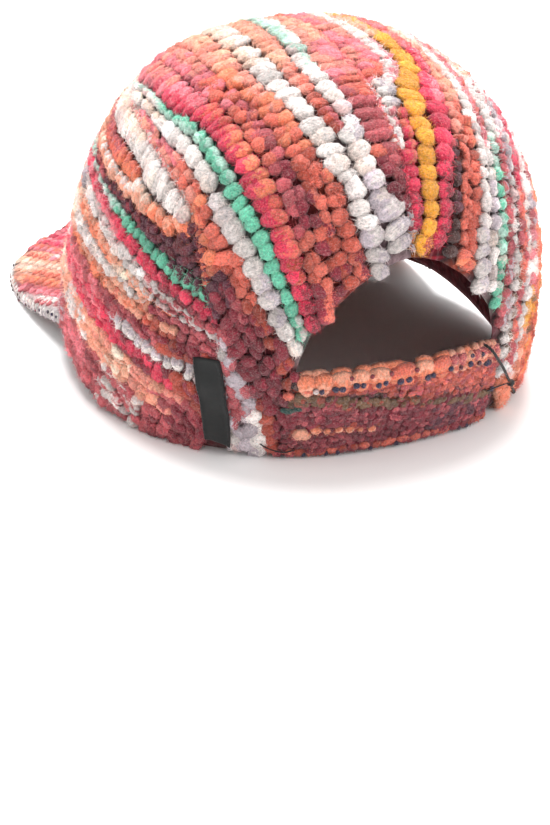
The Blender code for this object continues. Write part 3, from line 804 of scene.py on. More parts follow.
def painted(look, tree, shader, colour, relief=None):
    tree.links.new(colour, shader.inputs["Base Color"])
    if relief:
        tree.links.new(relief, shader.inputs["Normal"])
    return look


# the darkest tone at each loop's foot and the tone of the ground under the loops are painted shade; the fibres'
# brightening is painted highlight
woolLooks = {
    "streakScale": 1.6, "streakStretch": (3.6, 0.9, 2.2), "fleckScale": 1900.0, "melangeScale": 900.0,
    "blotScale": 420.0, "bumpDistance": 0.0010, "bumpStrength": 1.0, "footShade": 0.20,
    "paleFleck": (0.84, 0.66, 0.60, 1.0), "paleFibre": (0.84, 0.68, 0.62, 1.0), "fibreHighlight": (1.35, 1.25, 1.25, 1.0),
    "shadeUnderLoops": (0.36, 0.26, 0.28, 1.0),
}


def woolPuffLook():
    look, tree, shader = newLook("woolPuff", 0.95, 0.22, 0.10)
    local, place = attribute(tree, "puffCoord", "Vector"), objectSpot(tree)
    split = put(tree, "ShaderNodeSeparateXYZ", {"Vector": local})
    blot = ranged(tree, noise(tree, place, woolLooks["blotScale"], 3.0), 0.25, 0.75, -0.75, 0.75)
    half = ranged(tree, maths(tree, "ADD", out(split, "Y"), blot), -0.25, 0.25, 0.0, 1.0, True)
    base = mixColour(tree, "MIX", half, attribute(tree, "puffTintA", "Color"), attribute(tree, "puffTintB", "Color"))
    # fine melange of lighter and darker fibres, streaks along each loop, and flecks
    melange = noise(tree, place, woolLooks["melangeScale"], 4.0, 0.65)
    toned = multiplied(tree, base, ranged(tree, melange, 0.32, 0.68, 0.70, 1.38))
    stretch = put(tree, "ShaderNodeMapping", {"Vector": local, "Scale": woolLooks["streakStretch"]})
    fibre = out(put(tree, "ShaderNodeTexNoise", {
        "Vector": out(stretch), "W": maths(tree, "MULTIPLY", attribute(tree, "puffSeed", "Fac"), 60.0),
        "Scale": woolLooks["streakScale"], "Detail": 5.0, "Roughness": 0.7, "Distortion": 0.6},
        noise_dimensions="4D"))
    shaded = multiplied(tree, toned, ranged(tree, fibre, 0.34, 0.66, 0.74, 1.30))
    fleck = noise(tree, place, woolLooks["fleckScale"])
    pale = mixColour(tree, "MIX", ranged(tree, fleck, 0.52, 0.72, 0.0, 0.24), shaded, woolLooks["paleFleck"])
    flecked = multiplied(tree, pale, ranged(tree, fleck, 0.28, 0.46, 0.84, 1.0))
    # painted shade: darker and deeper towards the foot of each loop, where the loops shade each other
    footShading = ranged(tree, out(split, "Z"), -0.38, 0.74, woolLooks["footShade"], 1.0, True)
    relief = bump(tree, maths(tree, "ADD", fibre, melange), woolLooks["bumpStrength"], woolLooks["bumpDistance"])
    return painted(look, tree, shader, multiplied(tree, flecked, footShading), relief)


def fuzzLook():
    look, tree, shader = newLook("strayFibre", 0.9, 0.1, 0.1)
    share = ranged(tree, noise(tree, objectSpot(tree), 700.0), 0.35, 0.7, 0.0, 0.24)
    # painted highlight: each stray fibre brighter than its loop's yarn, as if lit through
    highlighted = multiplied(tree, attribute(tree, "puffTintA", "Color"), woolLooks["fibreHighlight"])
    return painted(look, tree, shader, mixColour(tree, "MIX", share, highlighted, woolLooks["paleFibre"]))


def clothLook():  # knitted ground under the loops with painted shade on its outside, and its plain inside
    look, tree, shader = newLook("knittedGround", 0.95, 0.22, 0.12)
    place = objectSpot(tree)
    rib = put(tree, "ShaderNodeTexWave", {
        "Vector": place, "Scale": 95.0, "Distortion": 3.5, "Detail": 2.0, "Detail Scale": 2.2},
        wave_type="BANDS", bands_direction="X")
    stitch = out(put(tree, "ShaderNodeTexVoronoi", {"Vector": place, "Scale": 330.0}), "Distance")
    fibre = noise(tree, place, 1400.0, 3.0)
    mottled = multiplied(tree, attribute(tree, "clothTint", "Color"), ranged(tree, fibre, 0.3, 0.7, 0.72, 1.2))
    celled = multiplied(tree, mottled, ranged(tree, stitch, 0.0, 0.75, 1.08, 0.62))
    # painted shade: the outside of the ground darkened where the loops shade it, as far as clothSide reaches
    shadedOuter = multiplied(tree, celled, woolLooks["shadeUnderLoops"])
    colour = mixColour(tree, "MIX", attribute(tree, "clothSide", "Fac"), celled, shadedOuter)
    coarse = bump(tree, maths(tree, "MULTIPLY_ADD", stitch, 0.6, out(rib, "Fac")), 0.6, 0.0007, invert=True)
    return painted(look, tree, shader, colour, bump(tree, fibre, 0.5, 0.0003, coarse))


puffTree = buildPuffTree()
fuzzTree = buildFuzzTree()
puffLook = woolPuffLook()
fibreLook = fuzzLook()
groundLook = clothLook()
print("yarns and trees ready")

# every crown position to its place on the chart
lookup = KDTree(120 * 540)
chartSpots = []
for reachStep in range(120):
    for turnStep in range(540):
        chartSpots.append(chartOf(turnStep * 360 / 540, 1 - (reachStep + 0.5) / 120))
chartSpots = np.array(chartSpots)
skinSpots = skinPoint(chartSpots[:, 0], chartSpots[:, 1])
for index, spot in enumerate(skinSpots):
    lookup.insert(Vector(spot), index)
lookup.balance()


def refined(nodeName, cuts):  # a finer copy of a sewn solid, its skin joined up
    bm = bmesh.new()
    bm.from_mesh(cadNodes[nodeName].data)
    bmesh.ops.remove_doubles(bm, verts=bm.verts, dist=0.00002)
    for _ in range(cuts):
        bmesh.ops.subdivide_edges(bm, edges=bm.edges, cuts=1, use_grid_fill=True, smooth=0.0)
    bmesh.ops.recalc_face_normals(bm, faces=bm.faces)
    return bm


def groundPiece(nodeName, slotName, bm, tints, outside):
    mesh = bpy.data.meshes.new("cloth_" + nodeName)
    bm.to_mesh(mesh)
    bm.free()
    for attributeName, kind, key, values in (
        ("clothTint", "FLOAT_COLOR", "color", tints), ("clothSide", "FLOAT", "value", outside),
    ):
        layer = mesh.attributes.new(attributeName, kind, "POINT")
        layer.data.foreach_set(key, np.asarray(values, np.float32).ravel())
    mesh.polygons.foreach_set("use_smooth", [True] * len(mesh.polygons))
    mesh.materials.append(groundLook)
    finish(linked("cloth_" + nodeName, mesh), slotName, nodeName)


def looped(nodeName, slotName, prefix, puffs, irregular, grain):  # the loops of a piece from its list
    cloud = pointCloud("rows_" + nodeName, puffs)
    loops = grown(cloud, puffTree, {"Irregular": irregular, "Grain": grain, "Finish": puffLook}, prefix + nodeName)
    bpy.data.objects.remove(cloud, do_unlink=True)
    finish(loops, slotName)
    print(nodeName, "loops", len(puffs.place))
    return loops


def fibred(nodeName, slotName, loops, seed, dense=1.0, long=1.0, thick=1.0):  # fibres that stand out of the loops
    strands = grown(loops, fuzzTree, {
        "Density": fuzz["density"] * dense, "Length": fuzz["length"] * long, "Thickness": fuzz["thickness"] * thick,
        "Seed": seed, "Finish": fibreLook}, "fuzz_" + nodeName)
    finish(strands, slotName)
    print(nodeName, "fibres", len(strands.data.polygons))


ground = {"sunk": 0.0016, "skinDepth": 0.0030, "skinFade": 0.0012, "plain": (0.3, 0.1, 0.1)}


def dressGround(nodeName, rows, gridTable, kind, flip):
    # the panel's own cloth, sunk a little on the outside to make room for the loops
    bm = refined(nodeName, 1)
    grid, table = gridTable
    tints = np.zeros((len(bm.verts), 4), np.float32)
    outside = np.zeros(len(bm.verts), np.float32)
    for index, vert in enumerate(bm.verts):
        found = lookup.find(vert.co)[1]
        a, b = chartSpots[found]
        normal = Vector(skinNormal(a, b))
        depth = (vert.co - Vector(skinSpots[found])).dot(normal)
        face = max(0.0, min(1.0, (depth + ground["skinDepth"]) / ground["skinFade"]))
        # this outside share also sets how much painted shade the ground gets under the loops
        outside[index] = face
        across, length = (-b, a) if kind == "front" else (-a if flip else a, b)
        away = np.abs(table[:, columnAt(grid, length)] - across)
        colour = ground["plain"]
        if not np.all(np.isnan(away)):
            one, two = toneAt(rows[int(np.nanargmin(away))]["tones"], length, 0.0)
            colour = mixTone(yarn[one], yarn[two], 0.4)
        tints[index] = (*colour, 1.0)
        vert.co -= normal * (ground["sunk"] * face)
        vert.co.z = max(vert.co.z, 0.0)
    groundPiece(nodeName, "striped_knit", bm, tints, outside)


def dressPanel(nodeName, rows, kind, flip, outline, freeEdges, seamEdges, lowLimit, highLimit, seed):
    side = mirrored if flip else np.asarray
    puffs, gridTable = fillPanel(rows, kind, flip, side(outline), [side(p) for p in freeEdges],
                                 [side(p) for p in seamEdges], lowLimit, highLimit, seed)
    loops = looped(nodeName, "striped_knit", "loops_", puffs, puffing["irregular"], puffing["grain"])
    dressGround(nodeName, rows, gridTable, kind, flip)
    fibred(nodeName, "striped_knit", loops, seed)


sideSeam, frontSeam = seamPath["side"], seamPath["front"]
frontTop, opening = seamPath["frontTop"], seamPath["opening"]
centreSeam = np.array([(0.0, b) for b in np.linspace(0.618, -0.29, 120)])
backOutline = np.concatenate((opening, centreSeam, frontTop[::-1], sideSeam[::-1], rimPath(54.0, 64.3, 12)))
sideOutline = np.concatenate((rimPath(-42.0, 54.0), sideSeam, frontSeam[::-1]))
frontOutline = np.concatenate((rimPath(-138.0, -42.0), frontSeam, frontTop, mirrored(frontTop)[::-1],
                               mirrored(frontSeam)[::-1]))


def sideSeamAt(grid):  # the side seam's distance across at each lengthwise place
    return edgeTable(sideSeam, grid)


def rimAt(grid):
    return np.sqrt(np.maximum(1.0 - grid * grid, 0.0))


def topHigh(grid):  # the seam, and the rim behind the place where the seam ends
    return np.where(grid > 0.805, rimAt(grid), sideSeamAt(grid))


def frontLow(grid):
    upper = np.concatenate((frontTop[::-1], frontSeam[::-1]))
    return np.interp(np.abs(grid), upper[:, 0], -upper[:, 1])


for nodeName, rows, flip, seed in (("back_panel_left", leftBackRows, False, 11),
                                   ("back_panel_right", rightBackRows, True, 23)):
    dressPanel(nodeName, rows, "top", flip, backOutline, [opening, rimPath(54.0, 64.3, 24)],
               [sideSeam, centreSeam, frontTop], np.zeros_like, topHigh, seed)
for nodeName, rows, flip, seed in (("side_panel_left", leftSideRows, False, 37),
                                   ("side_panel_right", rightSideRows, True, 41)):
    dressPanel(nodeName, rows, "side", flip, sideOutline, [rimPath(-42.0, 54.0, 260)], [sideSeam, frontSeam],
               sideSeamAt, rimAt, seed)
dressPanel("front_panel", frontPanelRows(), "front", False, frontOutline, [rimPath(-138.0, -42.0, 260)],
           [frontSeam, mirrored(frontSeam), frontTop, mirrored(frontTop)], frontLow, rimAt, 53)
print("crown dressed")

brimForm = {  # the brim's sizes as sewn, and its loops
    "fall": 0.33, "templeX": 0.0874, "templeY": -0.0372, "topLift": 0.0034, "thickness": 0.0052,
    "rowSpacing": 0.0058, "step": 0.0050, "height": 0.0013, "sink": 0.0004, "edgeStep": 0.0042, "skew": 0.27,
    "start": -0.036, "end": -0.157, "irregular": 0.0009, "grain": 320.0,
}
brimHalf = [(0.0884, -0.0400), (0.0905, -0.0550), (0.0918, -0.0700), (0.0922, -0.0850), (0.0910, -0.1000),
            (0.0882, -0.1150), (0.0825, -0.1265), (0.0735, -0.1350), (0.0620, -0.1420), (0.0480, -0.1480),
            (0.0320, -0.1530), (0.0160, -0.1560)]
brimEdge = rounded(brimHalf + [(0.0, -0.1570)] + [(-x, y) for x, y in brimHalf[::-1]], 12)
# yarns of the brim's rows from its left side to its right, first those seen at the corner
brimTones = [(lane, stretches(text)) for lane, text in (
    (.0880, "-.16 white grey, -.10 white lilac"),
    (.0820, "-.16 white lilac, -.10 white rose"),
    (.0765, "-.16 rose maroon, -.11 maroon rose, -.07 rose pink"),
    (.0705, "-.16 mustard orange, -.11 orange peach, -.08 orange coral"),
    (.0645, "-.16 mustard peach, -.12 cream peach, -.08 peach coral"),
    (.0585, "-.16 cream cream, -.10 peach cream, -.07 pink peach"),
    (.0530, "-.16 cream peach, -.12 peach coral, -.08 white pink"),
    (.0475, "-.16 peach coral, -.12 coral pink, -.09 pink coral"),
    (.0415, "-.16 coral pink, -.11 pink raspberry"),
    (.0355, "-.16 pink raspberry, -.10 pink raspberry"),
    (.0295, "-.16 pink raspberry, -.12 raspberry pink"),
    (.0235, "-.16 rose coral, -.12 coral pink"),
)]
hiddenPairs = (
    "orange peach, white grey, maroon rose, coral orange, mint grey, rose coral, cream white, raspberry pink, "
    "peach orange, grey white, plum maroon, coral peach, mustard orange, white lilac, raspberry rose, coral rust, "
    "cream peach, maroon rust, white grey, orange coral, pink rose, grey mint, rust maroon, peach coral")
for step, pair in enumerate(hiddenPairs.split(", ")):
    one, two = pair.split()
    brimTones.append((round(0.0175 - 0.006 * step, 4), [(-.16, one, two), (-.12, two, one)]))
brimCurl = brimForm["fall"] * (crown["front"] + brimForm["templeY"]) / brimForm["templeX"] ** 2


def brimTop(x, y):
    rise = brimCurl * (brimForm["templeX"] ** 2 - x * x) + brimForm["fall"] * (y - brimForm["templeY"])
    return np.array((x, y, rise + brimForm["topLift"]))


def brimNormal(x):
    return np.array(Vector((2 * brimCurl * x, -brimForm["fall"], 1.0)).normalized())


def brimTonesAt(x, y, shift=0.0):
    lane = x + brimForm["skew"] * (y + 0.04)
    return toneAt(min(brimTones, key=lambda item: abs(item[0] - lane))[1], y, shift)


def brimRows(rng, puffs):  # rows on the top and, flatter, on the underside
    innerChart = chartOf(np.linspace(-20, -160, 241), np.zeros(241))
    innerWorn = crownWorn(innerChart[:, 0], innerChart[:, 1])
    order = np.argsort(innerWorn[:, 0])
    front = brimEdge[brimEdge[:, 1] < -0.086]
    frontOrder = np.argsort(front[:, 0])
    for x0, tones in brimTones:
        for under in (False, True):
            y = brimForm["start"] - rng.random() * 0.003
            while y > brimForm["end"]:
                step = brimForm["step"] * rng.uniform(0.86, 1.16)
                y -= step
                x = x0 - brimForm["skew"] * (y + 0.04) + rng.uniform(-0.0003, 0.0003)
                yIn = float(np.interp(x, innerWorn[order, 0], innerWorn[order, 1])) - (0.0044 if under else 0.0014)
                if abs(x) > 0.0868:  # beside the temple
                    yIn = -0.042
                yOut = float(np.interp(x, front[frontOrder, 0], front[frontOrder, 1])) + 0.0024
                edge = float(np.interp(-y, -brimEdge[:145, 1], brimEdge[:145, 0]))
                if y > yIn or y < yOut or abs(x) > edge - 0.0016:
                    continue
                normal = brimNormal(x)
                spot = brimTop(x, y)
                if under:
                    spot = spot - np.array((0, 0, brimForm["thickness"]))
                    normal = -normal
                spot = spot + normal * (-brimForm["sink"])
                one, two = toneAt(tones, y, rng.uniform(-.008, .008))
                lie = brimForm["skew"] * 0.001
                ahead = brimTop(x + lie, y - 0.001) - brimTop(x - lie, y + 0.001)
                flat = 0.6 if under else 1.0
                puffs.add(setDown(spot), turnDown(ahead), turnDown(normal), math.radians(rng.uniform(-14, 14)),
                          (step * 0.56, brimForm["rowSpacing"] * 0.56 * rng.uniform(0.9, 1.1),
                           brimForm["height"] * flat * rng.uniform(0.85, 1.15)), one, two, rng)


def brimRim(rng, puffs):  # turned edge: loops side by side on the rim of the brim
    run = runOf(brimEdge)
    where = 0.002
    while where < run[-1] - 0.001:
        x, y = (float(np.interp(where, run, brimEdge[:, i])) for i in (0, 1))
        x2, y2 = (float(np.interp(where + 0.001, run, brimEdge[:, i])) for i in (0, 1))
        tangent = np.array((x2 - x, y2 - y, 0.0))
        outward = np.cross(np.array((0, 0, 1.0)), tangent)
        outward = outward / np.linalg.norm(outward)
        if outward[0] * x + outward[1] * (y + 0.08) < 0:
            outward = -outward
        spot = brimTop(x, y) - np.array((0, 0, brimForm["thickness"] * 0.5)) - outward * 0.0011
        one, two = brimTonesAt(x, y, rng.uniform(-0.008, 0.008))
        if x > 0.07 and y > -0.128:
            one, two = rng.choice((("white", "grey"), ("white", "lilac"), ("grey", "white")))
        puffs.add(setDown(spot), turnDown(tangent), turnDown(outward), math.radians(rng.uniform(-10, 10)),
                  (brimForm["edgeStep"] * 0.58, 0.0027, 0.0015), one, two, rng)
        if rng.random() < 0.4:
            speck = spot + outward * 0.0012 + np.array((0, 0, rng.uniform(-0.0012, 0.0016)))
            puffs.add(setDown(speck), turnDown(tangent), turnDown(outward), 0.0, (0.0007, 0.0008, 0.0006),
                      rng.choice(("navy", "brown", "maroon")), "navy", rng)
        where += brimForm["edgeStep"] * rng.uniform(0.9, 1.1)


def dressBrim():
    rng = random.Random(71)
    puffs = PuffList()
    brimRows(rng, puffs)
    brimRim(rng, puffs)
    loops = looped("brim", "striped_knit", "loops_", puffs, brimForm["irregular"], brimForm["grain"])
    fibred("brim", "striped_knit", loops, 72, 0.5, 0.8)
    bm = refined("brim", 1)
    tints = np.zeros((len(bm.verts), 4), np.float32)
    for index, vert in enumerate(bm.verts):
        wornY = (vert.co.y - crown["restShift"]) * leanCos - (vert.co.z - crown["restLift"]) * leanSin
        one, two = brimTonesAt(vert.co.x, wornY)
        tints[index] = (*mixTone(yarn[one], yarn[two], 0.4), 1.0)
    # the brim's ground takes 0.45 of the painted shade under its loops
    groundPiece("brim", "striped_knit", bm, tints, np.full(len(tints), 0.45))


dressBrim()

strapForm = {  # back strap: felted bands, edge loops and dots, places as turn and climb
    "start": 65.6, "stop": 114.4, "feltHalf": 0.00155, "feltHeight": 0.00085, "turnStep": 1.35,
    "dotHalf": 0.00115, "dotLift": 0.0025, "irregular": 0.0008, "grain": 420.0,
    "creaseTurns": [65, 72, 84, 94, 107, 119], "creaseClimb": [.108, .107, .095, .075, .057, .050],
    "oliveTurns": [65, 80, 95, 112, 118], "oliveDepth": [.024, .022, .016, .014, .008],
    "edgeTurns": [66, 76, 90, 100, 108, 115], "edgeClimb": [.126, .132, .133, .134, .132, .122],
}


def strapAt(turn, name, values):
    return float(np.interp(turn, strapForm[name], strapForm[values]))


def strapBand(turn, climb, rng):  # yarn of the felted strap at a place
    above = climb - strapAt(turn, "creaseTurns", "creaseClimb")
    roll = rng.random()
    if above > 0.004:
        share = min(max((turn - 72) / 24, 0), 1)
        if roll < 0.25 + 0.6 * share:
            return rng.choice(("coral", "rust", "rust", "rose"))
        return rng.choice(("maroon", "rust", "rose", "burgundy"))
    # painted shade: darker yarns along the crease, where the fold lies in shade
    if above > -0.003:
        return rng.choice(("brown", "burgundy", "olive", "black"))
    if above > -strapAt(turn, "oliveTurns", "oliveDepth"):
        return "olive" if roll < 0.7 else rng.choice(("rust", "maroon", "brown"))
    if turn > 97 and climb > 0.012:
        return rng.choice(("plum", "maroon", "rose", "plum"))
    if 0.030 < climb < 0.045 and turn < 88:
        return rng.choice(("rust", "maroon", "burgundy"))
    return rng.choice(("burgundy", "maroon", "maroon", "rose", "maroon"))


def strapFrame(turn, climb):
    here = chartOf(turn, climb)
    ahead = chartOf(turn + 0.6, climb)
    spot, normal = skinPoint(here[0], here[1]), skinNormal(here[0], here[1])
    return spot, normal, skinPoint(ahead[0], ahead[1]) - spot


def tuft(puffs, rng, turn, climb, lift, yaw, size, one, two, spread=None):
    spot, normal, ahead = strapFrame(turn, climb)
    puffs.add(spot + normal * lift, ahead, normal, yaw, size, one, two, rng, spread)


def stepLength(turn, climb, step):  # a step's length along the strap
    return np.linalg.norm(strapFrame(turn, climb)[2]) / 0.6 * step


def strapFelt(rng, puffs):
    turn = strapForm["start"]
    while turn < strapForm["stop"]:
        climb = 0.006
        while climb < 0.112:
            jt, jc = turn + rng.uniform(-.5, .5), climb + rng.uniform(-.0022, .0022)
            tone = strapBand(jt, jc, rng)
            other = strapBand(jt, jc, rng)
            drop = 0.0010 if abs(jc - strapAt(jt, "creaseTurns", "creaseClimb")) < 0.0035 else 0.0
            size = strapForm["feltHalf"] * rng.uniform(0.8, 1.25)
            tuft(puffs, rng, jt, jc, 0.0004 - drop, rng.uniform(-1.2, 1.2),
                 (size * 1.15, size * 0.95, strapForm["feltHeight"] * rng.uniform(0.7, 1.3)), tone, other, .16)
            climb += 0.0078 if climb < 0.06 else 0.0090
        turn += strapForm["turnStep"]


def strapTopEdge(rng, puffs):  # rolled top edge in peach wool, smaller beads to the right
    turn = 66.4
    while turn < 114.2:
        big = turn < 97
        step = (rng.uniform(3.6, 4.6) if big else rng.uniform(2.1, 2.7))
        climb = strapAt(turn, "edgeTurns", "edgeClimb")
        reach = stepLength(turn + step / 2, climb, step)
        one, two = rng.choice((("peach", "orange"), ("orange", "peach"), ("orange", "coral")))
        if not big:
            one, two = rng.choice((("peach", "rose"), ("peach", "coral"), ("orange", "peach")))
        tuft(puffs, rng, turn + step / 2, climb, -0.0004, rng.uniform(-.2, .2),
             (reach * 0.70, 0.0041 if big else 0.0034, 0.0027 if big else 0.0023), one, two, .05)
        tuft(puffs, rng, turn + step * rng.uniform(.3, .7), climb + .010, -0.0019, rng.uniform(-.3, .3),
             (reach * 0.62, 0.0026, 0.0022), two, one, .05)
        tuft(puffs, rng, turn + step * rng.uniform(.3, .7), climb - (.012 if big else .010), 0.0004,
             rng.uniform(-.3, .3), (reach * 0.42, 0.0023, 0.0019), one, "coral" if rng.random() < .5 else two, .05)
        turn += step


strapDots = (
    (70.5, .119, "white", 1.0), (71.8, .118, "navy", .9), (74.8, .121, "navy", 1.1), (76.3, .121, "navy", 1.1),
    (79.2, .126, "navy", 1.1), (80.6, .126, "navy", 1.0), (84.0, .122, "navy", 1.0), (85.4, .125, "navy", 1.0),
    (88.3, .124, "navy", 1.15), (89.8, .125, "navy", 1.1), (93.2, .122, "navy", 1.15), (94.4, .124, "navy", .9),
    (98.5, .130, "navy", .9), (101.2, .126, "plum", .8), (103.8, .128, "navy", 1.0), (106.6, .124, "plum", .8),
    (109.2, .118, "navy", 1.2), (110.2, .116, "plum", .9), (82.5, .139, "maroon", .8), (78.0, .139, "maroon", .8),
    (86.5, .140, "maroon", .8), (91.0, .139, "maroon", .9), (104.5, .141, "navy", .8), (107.8, .137, "navy", .8),
)
peachBeads = ((69.2, .035, 2.7), (70.6, .031, 1.9), (72.6, .040, 1.9), (75.2, .037, 1.3),
              (77.8, .038, 1.4), (80.2, .037, 1.6), (82.6, .034, 1.1), (85.0, .033, 1.5))
jointTufts = (  # joint at the left end: black and brown tufts as painted shade in its hollow, and a teal tuft
    (65.0, .126, "black", .0002, (.0024, .0022, .0009)), (66.2, .122, "brown", .0006, (.0016, .0016, .0008)),
    (65.2, .078, "teal", .0010, (.0030, .0014, .0011)), (67.2, .080, "teal", .0009, (.0024, .0010, .0008)),
    (64.6, .105, "coral", .0006, (.0022, .0018, .0014)), (114.6, .05, "navy", .0010, (.0014, .0012, .0008)),
)


def dressStrap():
    rng = random.Random(91)
    puffs = PuffList()
    strapFelt(rng, puffs)
    strapTopEdge(rng, puffs)
    for turn, climb, tone, size in strapDots:
        half = strapForm["dotHalf"] * size
        lift = strapForm["dotLift"] if climb < .135 else 0.0016
        tuft(puffs, rng, turn, climb, lift - half * 0.35, rng.uniform(-.6, .6), (half, half * 1.05, half * .8),
             tone, tone, .05)
    for turn, climb, size in peachBeads:
        tuft(puffs, rng, turn, climb, 0.0008, rng.uniform(-.4, .4), (size * .00115, size * .001, size * .0008),
             "peach", "orange" if size < 2 else "peach", .06)
    turn = 66.2
    while turn < 113.5:  # beads of the bottom edge
        step = rng.uniform(2.0, 3.0)
        reach = stepLength(turn + step / 2, 0.006, step)
        one = rng.choice(("rust", "coral", "rust", "maroon"))
        tuft(puffs, rng, turn + step / 2, 0.006, 0.0003, rng.uniform(-.2, .2), (reach * .60, 0.0021, 0.0016),
             one, rng.choice(("rust", "maroon", "coral")), .08)
        if rng.random() < 0.5:
            tuft(puffs, rng, turn, 0.004, 0.0014, 0.0, (0.0009, 0.0011, 0.0008), "navy", "navy")
        turn += step
    for turn, climb, tone, lift, size in jointTufts:
        tuft(puffs, rng, turn, climb, lift, 0.0, size, tone, tone, .05)
    loops = looped("back_strap", "strap_knit", "felt_", puffs, strapForm["irregular"], strapForm["grain"])
    fibred("back_strap", "strap_knit", loops, 92, 1.6, 0.62, 0.85)
    bm = refined("back_strap", 1)
    tints = np.zeros((len(bm.verts), 4), np.float32)
    for index, vert in enumerate(bm.verts):
        climb = 1 - math.hypot(*chartSpots[lookup.find(vert.co)[1]])
        tone = "coral" if climb > .112 else ("burgundy" if climb < .07 else "olive")
        tints[index] = (*mixTone(yarn[tone], yarn["maroon"], 0.35), 1.0)
    # the strap's ground takes 0.2 of the painted shade under its felt
    groundPiece("back_strap", "strap_knit", bm, tints, np.full(len(tints), 0.2))


dressStrap()

ribbon = {  # black woven label, bare
    "corners": ((40.0, 0.152), (47.0, 0.159), (47.0, 0.018), (53.7, 0.012)),
    "thickness": 0.0009, "lift": 0.0012, "bow": 0.0014, "across": 18, "down": 60, "stitchStep": 0.0016,
    "hem": 0.00028, "weaveRepeat": 3.4,
}
topFront, topBack, lowFront, lowBack = [chartOf(turn, climb) for turn, climb in ribbon["corners"]]


def ribbonSpot(over, up):
    low = lowFront * (1 - over) + lowBack * over
    top = topFront * (1 - over) + topBack * over
    spot = low * (1 - up) + top * up
    normal = skinNormal(spot[0], spot[1])
    bow = ribbon["bow"] * math.sin(math.pi * up) * (1 - 0.6 * over)
    wave = 0.00035 * math.sin(up * 11.0 + over * 2.0) + 0.00015 * math.sin(up * 23.0 - over * 3.0)
    return skinPoint(spot[0], spot[1]) + normal * (ribbon["lift"] + bow + wave), normal


def ribbonLook():
    look, tree, shader = newLook("blackRibbon", 0.5, 0.04, 0.28)
    place = put(tree, "ShaderNodeUVMap", uv_map="ribbonWeave").outputs["UV"]
    weave = put(tree, "ShaderNodeTexWave", {"Vector": place, "Scale": 34.0, "Distortion": 0.4}, bands_direction="Y")
    cross = put(tree, "ShaderNodeTexWave", {"Vector": place, "Scale": 16.0}, bands_direction="X")
    both = maths(tree, "MULTIPLY", out(weave, "Fac"), out(cross, "Fac"))
    dust = noise(tree, place, 6.0, 5.0)
    pale = ranged(tree, dust, 0.35, 0.8, 0.0, 0.6)
    dark = mixColour(tree, "MIX", both, (0.004, 0.0045, 0.0045, 1), (0.013, 0.014, 0.014, 1))
    tree.links.new(ranged(tree, dust, 0.3, 0.7, 0.38, 0.58), shader.inputs["Roughness"])
    colour = mixColour(tree, "MIX", pale, dark, (0.020, 0.021, 0.021, 1))
    return painted(look, tree, shader, colour, bump(tree, both, 0.5, 0.0002))


def threadLook(name, dark, light):
    look, tree, shader = newLook(name, 0.8, 0.15, 0.2)
    grain = noise(tree, objectSpot(tree), 2200.0, 3.0)
    colour = mixColour(tree, "MIX", ranged(tree, grain, 0.3, 0.7, 0.0, 1.0), (*dark, 1), (*light, 1))
    return painted(look, tree, shader, colour, bump(tree, grain, 0.6, 0.0002))


def makeRibbon():
    across, down, repeat = ribbon["across"], ribbon["down"], ribbon["weaveRepeat"]
    bm = bmesh.new()
    weave = bm.loops.layers.uv.new("ribbonWeave")
    skins = []
    for side in (1, 0):
        grid = []
        for row in range(down + 1):
            line = []
            for col in range(across + 1):
                over, up = col / across, row / down
                edge = min(over, 1 - over) * across
                hem = ribbon["hem"] * math.exp(-((edge - 1.2) / 0.9) ** 2)
                spot, normal = ribbonSpot(over, up)
                thick = ribbon["thickness"] + hem if side else 0.0
                if side and (edge < 0.5 or row in (0, down)):
                    thick *= 0.55
                line.append(bm.verts.new(spot + normal * thick))
            grid.append(line)
        skins.append(grid)

    def face(loop, uvs):
        made = bm.faces.new(loop)
        made.smooth = True
        for corner, uv in zip(made.loops, uvs):
            corner[weave].uv = uv

    top, under = skins
    for row in range(down):
        for col in range(across):
            uvs = [((col + i) / across, (row + j) / down * repeat) for i, j in ((0, 0), (1, 0), (1, 1), (0, 1))]
            face([top[row][col], top[row][col + 1], top[row + 1][col + 1], top[row + 1][col]], uvs)
            face([under[row + 1][col], under[row + 1][col + 1], under[row][col + 1], under[row][col]], uvs[::-1])
    rim = [(0, c) for c in range(across)] + [(r, across) for r in range(down)]
    rim += [(down, c) for c in range(across, 0, -1)] + [(r, 0) for r in range(down, 0, -1)]
    for k, (r, c) in enumerate(rim):
        r2, c2 = rim[(k + 1) % len(rim)]
        face([top[r2][c2], top[r][c], under[r][c], under[r2][c2]],
             [(c2 / across, r2 / down * repeat), (c / across, r / down * repeat)] * 2)
    bmesh.ops.recalc_face_normals(bm, faces=bm.faces)
    finish(pieceFrom(bm, "label_ribbon", ribbonLook()), "black_ribbon", "side_label")
    # running stitches along the long edges, set as points for the tree
    rng = random.Random(5)
    stitches = PuffList()
    for over in (0.07, 0.93):
        up = 0.02
        while up < 0.99:
            spot, normal = ribbonSpot(over, up)
            ahead = ribbonSpot(over, min(up + 0.01, 1.0))[0] - spot
            stitches.add(spot + normal * (ribbon["thickness"] + 0.00025), ahead, normal, 0.12,
                         (0.00062, 0.00020, 0.00016), (0.016, 0.016, 0.018), (0.03, 0.03, 0.032), rng, .05)
            up += ribbon["stitchStep"] / (np.linalg.norm(ahead) * 100)
    cloud = pointCloud("stitch_points", stitches)
    seam = grown(cloud, puffTree, {
        "Irregular": 0.00005, "Grain": 300.0,
        "Finish": threadLook("labelThread", (.010, .010, .011), (.045, .044, .046))}, "label_stitches")
    bpy.data.objects.remove(cloud, do_unlink=True)
    finish(seam, "black_ribbon")


makeRibbon()


